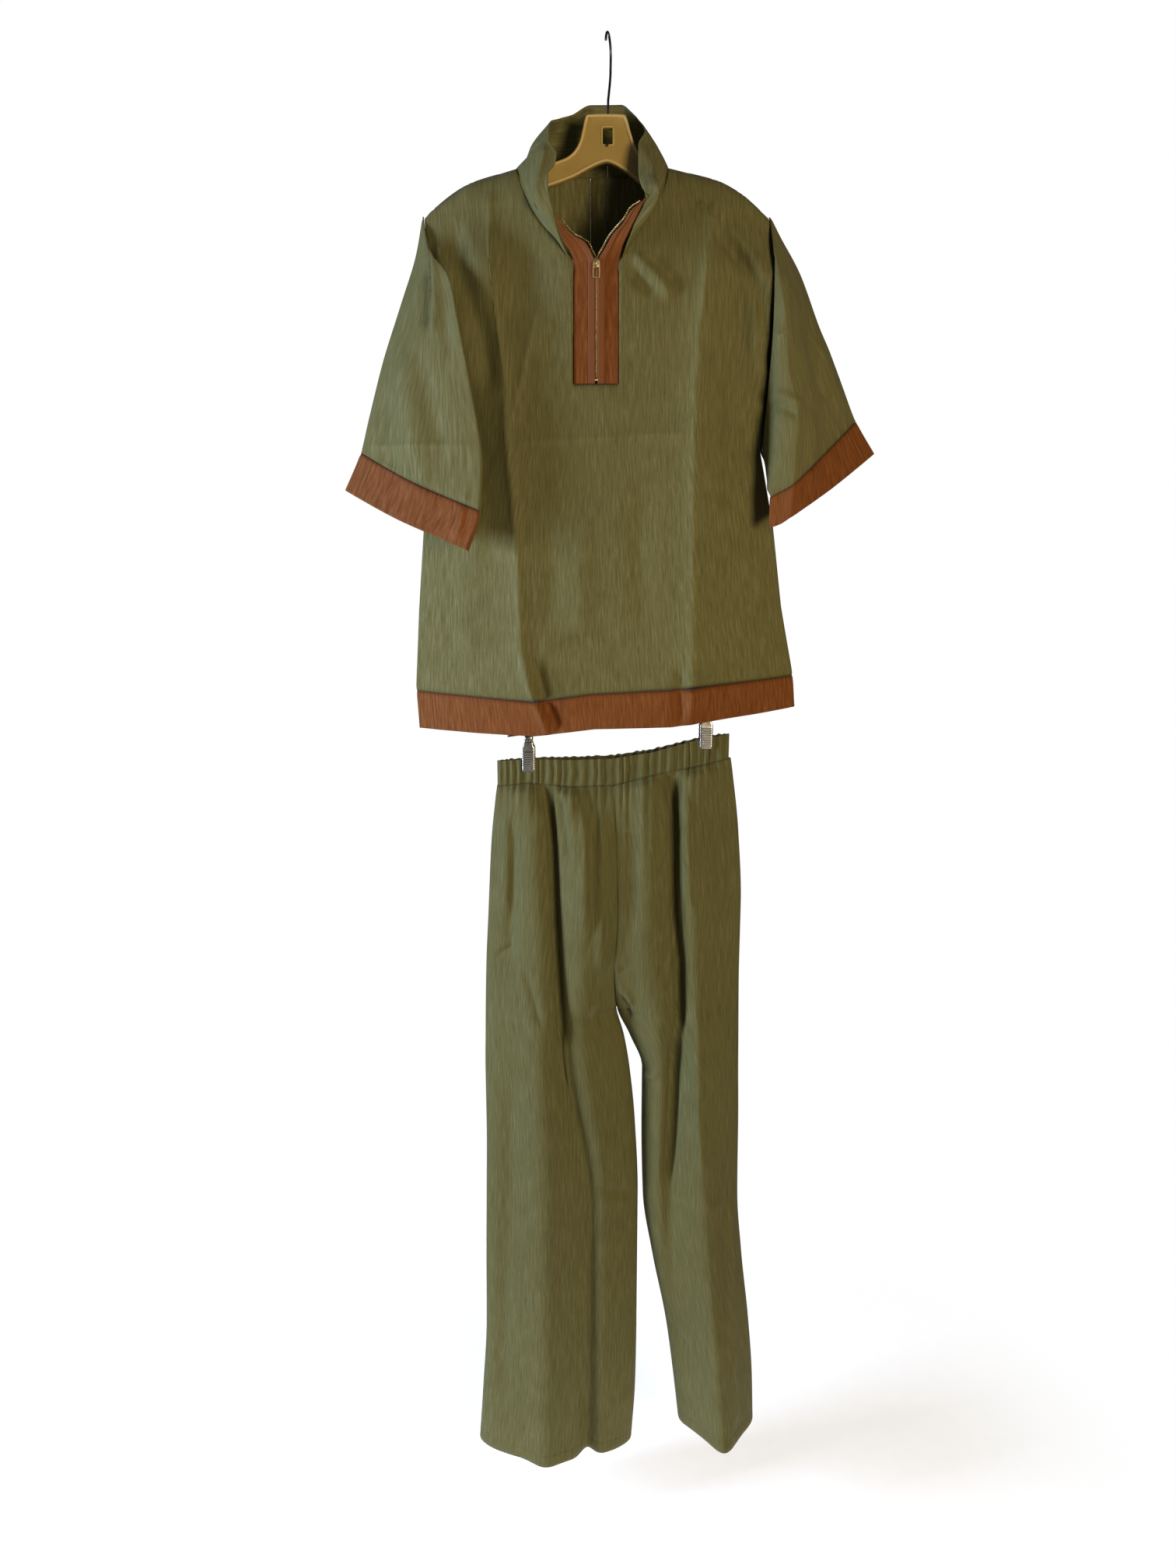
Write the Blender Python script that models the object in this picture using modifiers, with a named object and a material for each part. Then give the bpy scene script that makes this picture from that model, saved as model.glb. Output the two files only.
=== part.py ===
"""Co-ord set on its hangers: a half-zip top with short wide sleeves, and pull-on trousers below.

Metres, +Z up, the front faces -Y. The origin is the seat of the hanger's hook, where the rail bears.
Tables and named sizes are in millimetres and become metres when a mesh is made. "Left" and "right"
are the wearer's: the wearer's left is +X. Cloth is an open surface lofted through table rows and
given its wall by Solidify; every panel stops 0.3 mm short of the panel that it is sewn to.
"""
import math

import bmesh
import bpy
import numpy as np
from mathutils import Matrix

MM = 0.001

# Cloth
WALL = 1.4              # crepe with its turned seams
SEAM_GAP = 0.3          # between the edges of two sewn panels
EDGE_Y = 0.9            # half wall and half gap: where two panels lie face to face in a seam
SHOULDER_CROWD = 1.6    # brings the rows closer together where the cloth rounds the shoulder
CUFF_DEPTH = 47.0
CUFF_GAP = 1.8          # between a sleeve's last ring and its cuff
SLEEVE_CLEAR = {"right": -1.2, "left": 0.0}     # moves a sleeve's first ring off the armhole
PLACKET_BOTTOM_Z = -383.0
PLACKET_TOP_Z = -247.0
PLACKET_LOW_X = -40.0
PLACKET_HIGH_X = 12.5
ZIP_X = -13.5           # the chain's line, off the hook's line because the top has slid on its hanger
ZIP_BOTTOM_Z = -377.0
CHAIN_HALF = 2.0        # half width of the closed chain
CHAIN_THICK = 1.6
CHAIN_SINK = 0.4        # the chain and the placket lie this far outside the body's surface
PLACKET_BEND = 5.5      # below its top, the placket starts to turn out along the opened chain
OFF_CHAIN = (3.1, -0.2, -1.8)       # from the opened chain's line to the placket's inner edge
OFF_SEAM = (-2.8, -0.6, -1.4)       # from the neckline's end to the placket's outer edge
SLIDER_Z = (-258.5, -248.5)
SLIDER_HALF = 4.0
SLIDER_THICK = 2.2
PULL_Z = -253.5         # the pull's hinge
PULL_HALF = 3.4
PULL_LENGTH = 15.0
PULL_WIRE = 1.0
BAIL_OUT = 2.2          # how far the bail stands out of the slider
BAIL_HALF = 2.8
BACK_SEAM_X = -20.0
RIDGE_ROUND = 9.0       # how far the cloth stands out at once where it rounds the hanger's top
GATHERS = 60            # gathers of the elastic waist, all round
GATHER_DEPTH = 1.8

# Hanger and clips
HOOK_WIRE = 2.8
HOOK_INNER_R = 17.0
HOOK_TURN = math.radians(80.0)
NECK_TOP_Z = -83.0
HANGER_THICK = 10.0
SLOT_X = (-6.0, 5.0)
SLOT_Z = (-114.0, -97.0)
LINK_WIRE = 2.0
BAR_DIAMETER = 4.0
BAR_MID = (14.0, 0.0, -785.0)
BAR_SLOPE = math.radians(7.6)
BAR_HALF = 140.0
CLIP_X = {"right": -99.0, "left": 127.5}
CLIP_WIDTH = 16.0
CLIP_PLATE = 1.2
CLIP_HEIGHT = 46.0
CLIP_GRIP = 8.2         # half of the room between the jaws: two layers of waistband with gathers

# Half sections of the top's front, a row for each height. x of the side seam or armhole on the
# wearer's right, its y, then x and y of the pressed crease, y of the middle, and the same on the
# wearer's left, where a soft valley lies between the crease and the armhole.
TOP_FRONT_COLUMNS = ("z", "side_r", "side_r_y", "crease_r", "crease_r_y", "mid_y",
                     "crease_l", "crease_l_y", "valley", "valley_y", "side_l", "side_l_y")
TOP_FRONT = np.array([
    (-190, -213, -6.0, -137, -28, -44, 118, -28, 152, -22, 187, -6.0),
    (-260, -206, -32.0, -134, -38, -55, 109, -39, 148, -32, 189, -36.0),
    (-330, -203, -33.0, -126, -43, -57, 102, -44, 144, -36, 188, -42.0),
    (-400, -202, -15.0, -116, -46, -57, 100, -47, 141, -38, 186, -18.0),
    (-455, -203, -0.9, -114, -48, -56, 99, -49, 140, -36, 185, -0.9),
    (-540, -224, -0.9, -107, -50, -57, 100, -51, 150, -33, 203, -0.9),
    (-640, -233, -0.9, -103, -51, -58, 101, -52, 158, -31, 217, -0.9),
    (-740, -240, -0.9, -100, -52, -58, 102, -53, 168, -31, 238, -0.9),
    (-795, -238, -0.9, -76, -54, -58, 105, -53, 170, -31, 239, -0.9)], float)

# The top's back, a row for each height: y at the armhole or side, the blades and the middle.
TOP_BACK = np.array([
    # z, side_y, blade_y, mid_y
    (-190, 6.0, 30, 44),
    (-260, 30.0, 37, 46),
    (-330, 34.0, 40, 44),
    (-400, 15.0, 41, 44),
    (-455, 0.9, 42, 45),
    (-540, 0.9, 42, 45),
    (-640, 0.9, 43, 46),
    (-740, 0.9, 44, 47),
    (-795, 0.9, 44, 47)], float)

# Ridge of the shoulders, and the front neckline on each side: x and z
SHOULDER = np.array([(-213, -192), (-206, -185), (-160, -155), (-107, -140), (70, -139),
                     (127, -152), (155, -166), (187, -192)], float)
NECKLINE_RIGHT = np.array([(-41, -247), (-57, -228), (-81, -200), (-98, -166), (-107, -140)], float)
NECKLINE_LEFT = np.array([(70, -139), (66, -160), (53, -185), (28, -224), (13.5, -247)], float)
BACK_NECK_Z = -138.0
NECK_SPANS = (5, 4, 4, 4)   # right front, right back, left back, left front

# Seams of the hem band: x, z of its upper edge, z of its lower edge
HEM = np.array([(-240, -746, -793), (-167, -749, -795), (-90, -753, -796), (-15, -743, -786),
                (79, -738, -784), (148, -733, -776), (239, -726, -766)], float)

# The stand collar from the wearer's right front end, round the back, to the left front end: the
# crease or middle of its height and its upper edge, each x, y, z. Its seam is the neckline's.
COLLAR = np.array([
    [(-55, -58, -226), (-61, -58, -204)],
    [(-68, -56, -205), (-67, -58, -179)],
    [(-80, -50, -180), (-67, -52, -161)],
    [(-79, -44, -158), (-60, -46, -148)],
    [(-76, -37, -138), (-58, -42, -136)],
    [(-74, -30, -122), (-67, -33, -119)],
    [(-86, -10, -116), (-66, -10, -94)],
    [(-76, 22, -108), (-57, 20, -80)],
    [(-52, 41, -104), (-40, 38, -69)],
    [(-20, 47, -98), (-19, 45, -57)],
    [(17, 45, -98), (16, 44, -57)],
    [(38, 34, -104), (25, 34, -66)],
    [(52, 14, -110), (36, 14, -84)],
    [(57, -8, -120), (42, -10, -102)],
    [(53, -30, -140), (34, -24, -122)],
    [(53, -46, -160), (34, -34, -150)],
    [(56, -66, -183), (37, -50, -172)],
    [(28, -61, -216), (44, -62, -185)]], float)
COLLAR_LIFT = 1.8       # how far the collar's lower edge stands off the seam's points
COLLAR_ENDS = (4.5, 3.0)    # how far its two front ends stand clear of the placket

# The opened zip above its slider, from the slider to the collar's edge: x, y, z
OPEN_ZIP_RIGHT = np.array([(-15.5, -55, -249), (-21, -56, -233), (-40, -57, -221),
                           (-52, -58, -208)], float)
OPEN_ZIP_LEFT = np.array([(-11.5, -55, -249), (-7, -56, -238), (2, -57, -223), (17, -57, -207),
                          (25, -58, -195), (35, -58, -189)], float)

# Sleeves, a row for each ring from the armhole to the cuff's edge. Outer fold, middle of the front
# face, front fold, middle of the hidden return, underarm fold and middle of the back, each x, y, z.
SLEEVE_RIGHT = np.array([
    [(-215, -1, -192), (-210, -20, -216), (-204, -34, -243), (-205, -35, -330),
     (-205, -2, -452), (-207, 36, -330)],
    [(-224, 0, -232), (-210, -30, -252), (-181, -60, -268), (-186, -48, -358),
     (-204, -14, -466), (-216, 35, -348)],
    [(-245, 0, -290), (-212, -42, -304), (-170, -76, -318), (-172, -62, -400),
     (-199, -28, -482), (-232, 30, -382)],
    [(-267, 0, -350), (-220, -52, -368), (-158, -84, -385), (-158, -72, -444),
     (-190, -44, -498), (-244, 22, -424)],
    [(-286, 1, -412), (-230, -56, -440), (-147, -88, -466), (-148, -78, -490),
     (-170, -64, -514), (-242, 4, -466)],
    [(-299, 2, -456), (-232, -52, -492), (-150, -90, -526), (-149, -84, -528),
     (-153, -78, -527), (-228, -18, -496)],
    [(-320, 4, -500), (-248, -48, -536), (-166, -86, -569), (-163, -81, -572),
     (-167, -76, -570), (-246, -18, -538)]], float)
SLEEVE_LEFT = np.array([
    [(189, -1, -192), (190, -22, -216), (191, -36, -243), (190, -44, -330),
     (187, -2, -457), (191, 36, -330)],
    [(203, 4, -214), (199, -28, -240), (195, -46, -266), (193, -50, -348),
     (190, -12, -466), (196, 38, -340)],
    [(228, 18, -247), (213, -32, -276), (201, -54, -300), (196, -54, -372),
     (191, -22, -478), (208, 44, -356)],
    [(257, 28, -308), (232, -28, -338), (208, -60, -366), (199, -56, -412),
     (191, -34, -490), (222, 44, -392)],
    [(284, 34, -364), (250, -22, -400), (221, -64, -430), (203, -60, -462),
     (190, -44, -500), (234, 34, -430)],
    [(309, 38, -416), (262, -16, -458), (219, -64, -495), (204, -60, -504),
     (192, -54, -509), (244, 6, -464)],
    [(334, 40, -454), (272, -16, -498), (217, -62, -532), (204, -58, -541),
     (193, -53, -544), (256, 6, -503)]], float)

# Trousers. Waist: x, z of the band's upper edge, z of its seam, half of the band's depth.
WAIST = np.array([(-139, -836, -869, 2.2), (-99, -833, -864, 5.0), (-40, -833, -868, 10.0),
                  (10, -831, -866, 11.0), (60, -823, -853, 10.0), (127, -805, -840, 5.0),
                  (157, -801, -833, 2.2)], float)
# Legs, a row for each height: outer fold, inner edge, and y of the middle in front and at the back.
LEG_RIGHT = np.array([
    (-869, -140, 9, -16, 14), (-940, -148, 12, -30, 28), (-1040, -154, 15, -37, 36),
    (-1110, -158, 11, -39, 42), (-1171, -160, 14, -40, 44), (-1213, -161, 25, -41, 40),
    (-1260, -162, 33, -41, 34), (-1340, -162, 41, -42, 32), (-1450, -164, 46, -42, 32),
    (-1542, -166, 46, -43, 33), (-1660, -168, 46, -45, 34), (-1752, -174, 45, -46, 35),
    (-1845, -181, 40, -47, 36)], float)
LEG_LEFT = np.array([
    (-835, 160, 10, -16, 14), (-930, 172, 13, -30, 28), (-1030, 178, 16, -37, 36),
    (-1110, 178, 12, -39, 42), (-1171, 179, 16, -40, 44), (-1213, 180, 34, -41, 40),
    (-1260, 181, 51, -41, 34), (-1330, 183, 51, -42, 32), (-1450, 185, 54, -42, 32),
    (-1542, 193, 68, -43, 33), (-1650, 206, 89, -45, 34), (-1740, 214, 101, -46, 35),
    (-1810, 217, 109, -47, 36)], float)
CROTCH_Z = -1171.0

# Each leg panel is four nodes, one above another, so that its collision follows the hollow inside
# it. The real cloth runs whole from the waist to the hem. Name, first row and last row.
LEG_ROWS = 20
LEG_SPANS = 11
LEG_PARTS = (("upper", 0, 8), ("crotch", 8, 11), ("middle", 11, 15), ("lower", 15, 20))
WAIST_FADE_ROW = 6      # the waist seam's slope has faded out at this row

# Folds that run down the trousers' front: x at five heights, half width, height of the ridge
# (below zero for a trough) at the waist, the knee and the hem.
FOLD_HEIGHTS = (-860.0, -1040.0, -1220.0, -1450.0, -1840.0)
FOLDS_RIGHT = np.array([
    (-104, -98, -90, -84, -84, 24, 7, 8, 10),
    (-79, -69, -57, -22, -24, 13, -9, -10, -16),
    (-50, -32, -22, -2, 0, 18, 8, 4, 0)], float)
FOLDS_LEFT = np.array([
    (50, 52, 66, 72, 112, 20, 8, 5, 0),
    (81, 87, 95, 90, 124, 14, -9, -12, -4),
    (116, 118, 126, 140, 172, 22, 8, 9, 20)], float)


def spline(knots, values, at):
    """Monotone cubic through the knots, which keeps a table's flat stretches flat."""
    knots, values = np.asarray(knots, float), np.asarray(values, float)
    at = np.clip(np.asarray(at, float), knots.min(), knots.max())
    if knots[0] > knots[-1]:
        knots, values = knots[::-1], values[::-1]
    step = np.diff(knots)
    slope = np.diff(values, axis=0) / step.reshape((-1,) + (1,) * (values.ndim - 1))
    tangent = np.zeros_like(values)
    same_way = slope[1:] * slope[:-1] > 0
    total = np.where(same_way, slope[1:] + slope[:-1], 1.0)
    tangent[1:-1] = np.where(same_way, 2 * slope[1:] * slope[:-1] / total, 0.0)
    tangent[0], tangent[-1] = slope[0], slope[-1]
    cell = np.clip(np.searchsorted(knots, at, side="right") - 1, 0, len(step) - 1)
    width = step[cell]
    part = (at - knots[cell]) / width
    spread = part.shape + (1,) * (values.ndim - 1)
    part, width = part.reshape(spread), width.reshape(spread)
    square, cube = part * part, part * part * part
    return (values[cell] * (2 * cube - 3 * square + 1) + values[cell + 1] * (3 * square - 2 * cube)
            + tangent[cell] * width * (cube - 2 * square + part)
            + tangent[cell + 1] * width * (cube - square))


def along(path, count):
    """The path's points, spread evenly by length."""
    path = np.asarray(path, float)
    length = np.concatenate([[0.0], np.cumsum(np.linalg.norm(np.diff(path, axis=0), axis=1))])
    return spline(length, path, np.linspace(0.0, length[-1], count))


def lerp(a, b, part):
    return a + (b - a) * part


def closed_loop(anchors, spans, tightness):
    """A closed curve through the anchors: the fold corners have a small tightness, so they are
    crisp, and the middles of the faces a large one, so they are soft."""
    count = len(anchors)
    tangent = np.array([tightness[i] * 0.5 * (anchors[(i + 1) % count] - anchors[i - 1])
                        for i in range(count)])
    part = np.linspace(0.0, 1.0, spans, endpoint=False)[:, None]
    pieces = []
    for i in range(count):
        j = (i + 1) % count
        chord = np.linalg.norm(anchors[j] - anchors[i])
        start, end = tangent[i], tangent[j]
        start = start * min(1.0, 1.2 * chord / (np.linalg.norm(start) + 1e-9))
        end = end * min(1.0, 1.2 * chord / (np.linalg.norm(end) + 1e-9))
        square, cube = part ** 2, part ** 3
        pieces.append(anchors[i] * (2 * cube - 3 * square + 1) + anchors[j] * (3 * square - 2 * cube)
                      + start * (cube - 2 * square + part) + end * (cube - square))
    return np.concatenate(pieces)


def material(name, colour, roughness, metallic=0.0):
    """A Principled material with one colour."""
    made = bpy.data.materials.new(name)
    made.use_nodes = True
    shader = made.node_tree.nodes["Principled BSDF"]
    shader.inputs["Base Color"].default_value = (*colour, 1.0)
    shader.inputs["Roughness"].default_value = roughness
    shader.inputs["Metallic"].default_value = metallic
    return made


def add_object(name, mesh, finish, collection):
    """Put a mesh into the scene as one named sub-part."""
    made = bpy.data.objects.new(name, mesh)
    made.data.materials.append(finish)
    collection.objects.link(made)
    return made


def cloth(name, grid, finish, collection, ring=False, missing=None, wall=WALL):
    """A cloth panel: the grid of points is an open surface, and Solidify gives it its wall.

    grid has shape (rows, columns, 3) in millimetres. A ring joins its last column to its first.
    missing(row, column) says which cells are cut out.
    """
    rows, columns = grid.shape[:2]
    spans = columns if ring else columns - 1
    faces = [(r * columns + c, r * columns + (c + 1) % columns,
              (r + 1) * columns + (c + 1) % columns, (r + 1) * columns + c)
             for r in range(rows - 1) for c in range(spans)
             if missing is None or not missing(r, c)]
    mesh = bpy.data.meshes.new(name)
    mesh.from_pydata((grid.reshape(-1, 3) * MM).tolist(), [], faces)
    shape = bmesh.new()
    shape.from_mesh(mesh)
    bmesh.ops.delete(shape, geom=[v for v in shape.verts if not v.link_faces], context="VERTS")
    bmesh.ops.recalc_face_normals(shape, faces=shape.faces)
    shape.to_mesh(mesh)
    shape.free()
    mesh.shade_smooth()
    made = add_object(name, mesh, finish, collection)
    thicken = made.modifiers.new("Wall", "SOLIDIFY")
    thicken.thickness = wall * MM
    thicken.offset = 0.0
    return made


def shoulder_z(x):
    return np.interp(x, SHOULDER[:, 0], SHOULDER[:, 1])


def top_row(z):
    """The front's section table at a height, by column name."""
    return {name: np.interp(-np.asarray(z, float), -TOP_FRONT[:, 0], TOP_FRONT[:, i])
            for i, name in enumerate(TOP_FRONT_COLUMNS)}


def facet(x, x0, y0, x1, y1, bulge):
    """Straight from one line of the panel to the next, with a shallow outward bow between."""
    part = np.clip((x - x0) / (x1 - x0), 0.0, 1.0)
    return lerp(y0, y1, part) - bulge * 4.0 * part * (1.0 - part)


def away_from_ridge(y, at_ridge, below):
    """Run a panel's depth out to the shoulder ridge: quickly over the hanger's rounded top, then
    slowly, so that most of it has come a hand's width below the ridge."""
    below = np.maximum(below, 0.0)
    out = y - at_ridge
    quick = np.minimum(RIDGE_ROUND, np.abs(out)) * np.sign(out)
    return at_ridge + quick * (1.0 - np.exp(-below / 4.0)) + (out - quick) * (
        1.0 - np.exp(-below / 24.0))


def top_front_y(x, z):
    """Depth of the top's front: three facets between two pressed creases, which all run out
    to the shoulder seam."""
    row = top_row(z)
    mid_x = 0.5 * (row["crease_r"] + row["crease_l"])
    y = np.where(
        x < row["crease_r"],
        facet(x, row["side_r"], row["side_r_y"], row["crease_r"], row["crease_r_y"], 5.0),
        np.where(
            x < mid_x, facet(x, row["crease_r"], row["crease_r_y"], mid_x, row["mid_y"], 1.5),
            np.where(
                x < row["crease_l"],
                facet(x, mid_x, row["mid_y"], row["crease_l"], row["crease_l_y"], 1.5),
                np.where(
                    x < row["valley"],
                    facet(x, row["crease_l"], row["crease_l_y"], row["valley"], row["valley_y"], 0),
                    facet(x, row["valley"], row["valley_y"], row["side_l"], row["side_l_y"], 3)))))
    return away_from_ridge(y, -EDGE_Y, shoulder_z(x) - z)


def back_rise(x):
    """How far the back stands above the shoulder line, as a half ellipse behind the neck."""
    return 42.0 * np.sqrt(np.clip(1.0 - ((x + 19.0) / 88.0) ** 2, 0.0, 1.0))


def top_back_y(x, z):
    """Depth of the top's back: a shallow bow, widest at the blades."""
    row = top_row(z)
    side, blade, mid = (np.interp(-np.asarray(z, float), -TOP_BACK[:, 0], TOP_BACK[:, i])
                        for i in (1, 2, 3))
    half = 0.5 * (row["side_l"] - row["side_r"])
    middle = 0.5 * (row["side_l"] + row["side_r"])
    out = np.clip(np.abs(x - middle) / half, 0.0, 1.0)
    y = np.where(out < 0.5, lerp(mid, blade, (out / 0.5) ** 2),
                 lerp(blade, side, (np.maximum(out - 0.5, 0.0) / 0.5) ** 1.7))
    return away_from_ridge(y, EDGE_Y, shoulder_z(x) + back_rise(x) - z)


def hem_z(x, column):
    return np.interp(x, HEM[:, 0], HEM[:, column])


def neck_seam():
    """The neckline's points all round, from the right front end to the left one, on the panels."""
    right = along(NECKLINE_RIGHT, NECK_SPANS[0] + 1)
    left = along(NECKLINE_LEFT, NECK_SPANS[3] + 1)
    back_x = np.concatenate([
        lerp(right[-1, 0], BACK_SEAM_X, np.linspace(0.0, 1.0, NECK_SPANS[1] + 1) ** 1.6)[:-1],
        lerp(left[0, 0], BACK_SEAM_X, np.linspace(0.0, 1.0, NECK_SPANS[2] + 1) ** 1.6)[::-1]])
    back = np.stack([back_x, np.full(len(back_x), BACK_NECK_Z)], axis=-1)
    back[0, 1], back[-1, 1] = right[-1, 1], left[0, 1]
    return right, back, left


def column_grid(tops, bottoms, rows, side_low, side_high, crowd=1.0):
    """Straight columns from top points to bottom points; the outermost ones bend to the sides.
    crowd above 1 brings the upper rows closer together, where the cloth rounds the shoulder."""
    part = np.linspace(0.0, 1.0, rows)[:, None] ** crowd
    x = lerp(tops[None, :, 0], bottoms[None, :, 0], part)
    z = lerp(tops[None, :, 1], bottoms[None, :, 1], part)
    across = np.linspace(0.0, 1.0, tops.shape[0])[None, :]
    if side_low is not None:
        x = x + (top_row(z[:, :1])[side_low] - x[:, :1]) * (1.0 - across) ** 2
    if side_high is not None:
        x = x + (top_row(z[:, -1:])[side_high] - x[:, -1:]) * across ** 2
    return np.stack([x, z], axis=-1)


def make_top_front(finish, collection):
    """Front of the top: shoulders and neckline above, the placket's window, and down to the band."""
    window_spans, upper_rows, lower_rows, shoulder_spans = 4, 8, 9, 3
    gap = SEAM_GAP
    right, _, left = neck_seam()
    window = np.linspace(PLACKET_LOW_X - gap, PLACKET_HIGH_X + gap, window_spans + 1)
    level = PLACKET_BOTTOM_Z - gap
    right, left = right.copy(), left.copy()
    right[0, 0], left[-1, 0] = window[0], window[-1]
    top_right = np.concatenate([along(SHOULDER[:4], shoulder_spans + 1), right[-2::-1]])
    top_left = np.concatenate([left[::-1], along(SHOULDER[4:], shoulder_spans + 1)[1:]])
    spans_right, spans_left = len(top_right) - 1, len(top_left) - 1
    row = top_row(level)
    level_right = np.stack([np.linspace(row["side_r"], window[0], spans_right + 1),
                            np.full(spans_right + 1, level)], axis=-1)
    level_left = np.stack([np.linspace(window[-1], row["side_l"], spans_left + 1),
                           np.full(spans_left + 1, level)], axis=-1)
    upper_right = column_grid(top_right, level_right, upper_rows + 1, "side_r", None,
                              SHOULDER_CROWD)
    upper_left = column_grid(top_left, level_left, upper_rows + 1, None, "side_l",
                             SHOULDER_CROWD)
    middle = np.stack([np.broadcast_to(window, (upper_rows + 1, window_spans + 1)),
                       np.full((upper_rows + 1, window_spans + 1), level)], axis=-1)
    upper = np.concatenate([upper_right, middle[:, 1:-1], upper_left], axis=1)
    level_all = upper[-1]
    across = np.linspace(0.0, 1.0, level_all.shape[0])
    hem_x = level_all[:, 0] + lerp(-240.0 - row["side_r"], 238.0 - row["side_l"], across)
    hem = np.stack([hem_x, hem_z(hem_x, 1) + gap / 2], axis=-1)
    lower = column_grid(level_all, hem, lower_rows + 1, "side_r", "side_l")
    flat = np.concatenate([upper, lower[1:]])
    x, z = flat[..., 0], flat[..., 1]
    grid = np.stack([x, top_front_y(x, z), z], axis=-1)
    low, high = spans_right, spans_right + window_spans

    def in_window(r, c):
        return r < upper_rows and low <= c < high

    cloth("top_front", grid, finish, collection, missing=in_window)
    return grid[-1, :, 0]


def make_top_back(name, sign, finish, collection):
    """Half of the top's back, from the centre-back seam to the armhole and side."""
    rows, shoulder_spans = 13, 5
    seam = BACK_SEAM_X + sign * SEAM_GAP / 2
    outer = "side_l" if sign > 0 else "side_r"
    _, back, _ = neck_seam()
    neck = back[NECK_SPANS[1]:] if sign > 0 else back[NECK_SPANS[1]::-1]
    shoulders = SHOULDER[4:] if sign > 0 else SHOULDER[3::-1]
    tops = np.concatenate([neck[:-1], along(shoulders, shoulder_spans + 1)])
    tops[0, 0] = seam
    columns = len(tops) - 1
    hem_x = np.linspace(seam, 238.0 if sign > 0 else -240.0, columns + 1)
    hem = np.stack([hem_x, hem_z(hem_x, 1) + SEAM_GAP / 2], axis=-1)
    flat = column_grid(tops, hem, rows + 1, None, outer, SHOULDER_CROWD)
    x, z = flat[..., 0], flat[..., 1]
    cloth(name, np.stack([x, top_back_y(x, z), z], axis=-1), finish, collection)
    return x[-1]


def make_hem_band(name, x_top, depth_of, finish, collection):
    """The rust band of the hem, front or back: the body's own surface carried on downwards from
    the columns of the panel above it."""
    across = (x_top - x_top[0]) / (x_top[-1] - x_top[0])
    x_bottom = lerp(HEM[0, 0] + 2.5, HEM[-1, 0], across)
    part = np.linspace(0.0, 1.0, 3)[:, None]
    x = lerp(x_top[None, :], x_bottom[None, :], part)
    z = lerp(hem_z(x_top, 1)[None, :] - SEAM_GAP / 2, hem_z(x_bottom, 2)[None, :], part)
    y = depth_of(x, np.clip(z, -795.0, None))
    return cloth(name, np.stack([x, y, z], axis=-1), finish, collection)


def make_sleeve(side, table, finish, cuff_finish, collection):
    """A sleeve and its cuff: one flattened tube through the table's rings, parted at the cuff."""
    spans = 4
    tightness = (0.25, 1.0, 0.3, 1.0, 0.4, 1.0)
    rings = np.array([closed_loop(ring, spans, tightness) for ring in table])
    knots = np.arange(len(table), dtype=float)
    seam = len(table) - 2.0
    body = spline(knots, rings, np.linspace(0.0, seam - CUFF_GAP / CUFF_DEPTH, 11))
    cuff = spline(knots, rings, np.linspace(seam, len(table) - 1.0, 3))
    body[0] += (SLEEVE_CLEAR[side], 0.0, 0.0)
    cloth(f"sleeve_{side}", body, finish, collection, ring=True)
    cloth(f"cuff_{side}", cuff, cuff_finish, collection, ring=True)


def make_collar(finish, collection):
    """The stand collar: a strip lofted through the table's rows, open in front."""
    right, back, left = neck_seam()
    flat = np.concatenate([right[:-1], back, left[1:]])
    order = np.arange(len(flat))
    behind = (order >= len(right) - 1) & (order < len(right) + len(back) - 1)
    y = np.where(behind, top_back_y(flat[:, 0], flat[:, 1]), top_front_y(flat[:, 0], flat[:, 1]))
    seam = np.stack([flat[:, 0], y, flat[:, 1]], axis=-1)
    seam[0, 0] -= COLLAR_ENDS[0]
    seam[-1, 0] += COLLAR_ENDS[1]
    seam[1:NECK_SPANS[0], 0] += COLLAR_LIFT
    seam[-NECK_SPANS[3]:-1, 0] -= COLLAR_LIFT
    place = np.arange(len(COLLAR), dtype=float)
    around = np.linspace(0.0, len(COLLAR) - 1.0, 2 * len(COLLAR) - 1)
    upper = spline(place, COLLAR, around)
    low = np.stack([np.interp(around, place, seam[:, i]) for i in range(3)], axis=-1)
    rise = upper[:, 0] - low
    low = low + COLLAR_LIFT * rise / np.linalg.norm(rise, axis=1, keepdims=True)
    rows = np.concatenate([low[:, None], upper], axis=1)
    up = np.array([0.0, 0.5, 1.0, 1.5, 2.0])
    return cloth("collar", np.array([spline([0.0, 1.0, 2.0], row, up) for row in rows]),
                 finish, collection)


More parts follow.
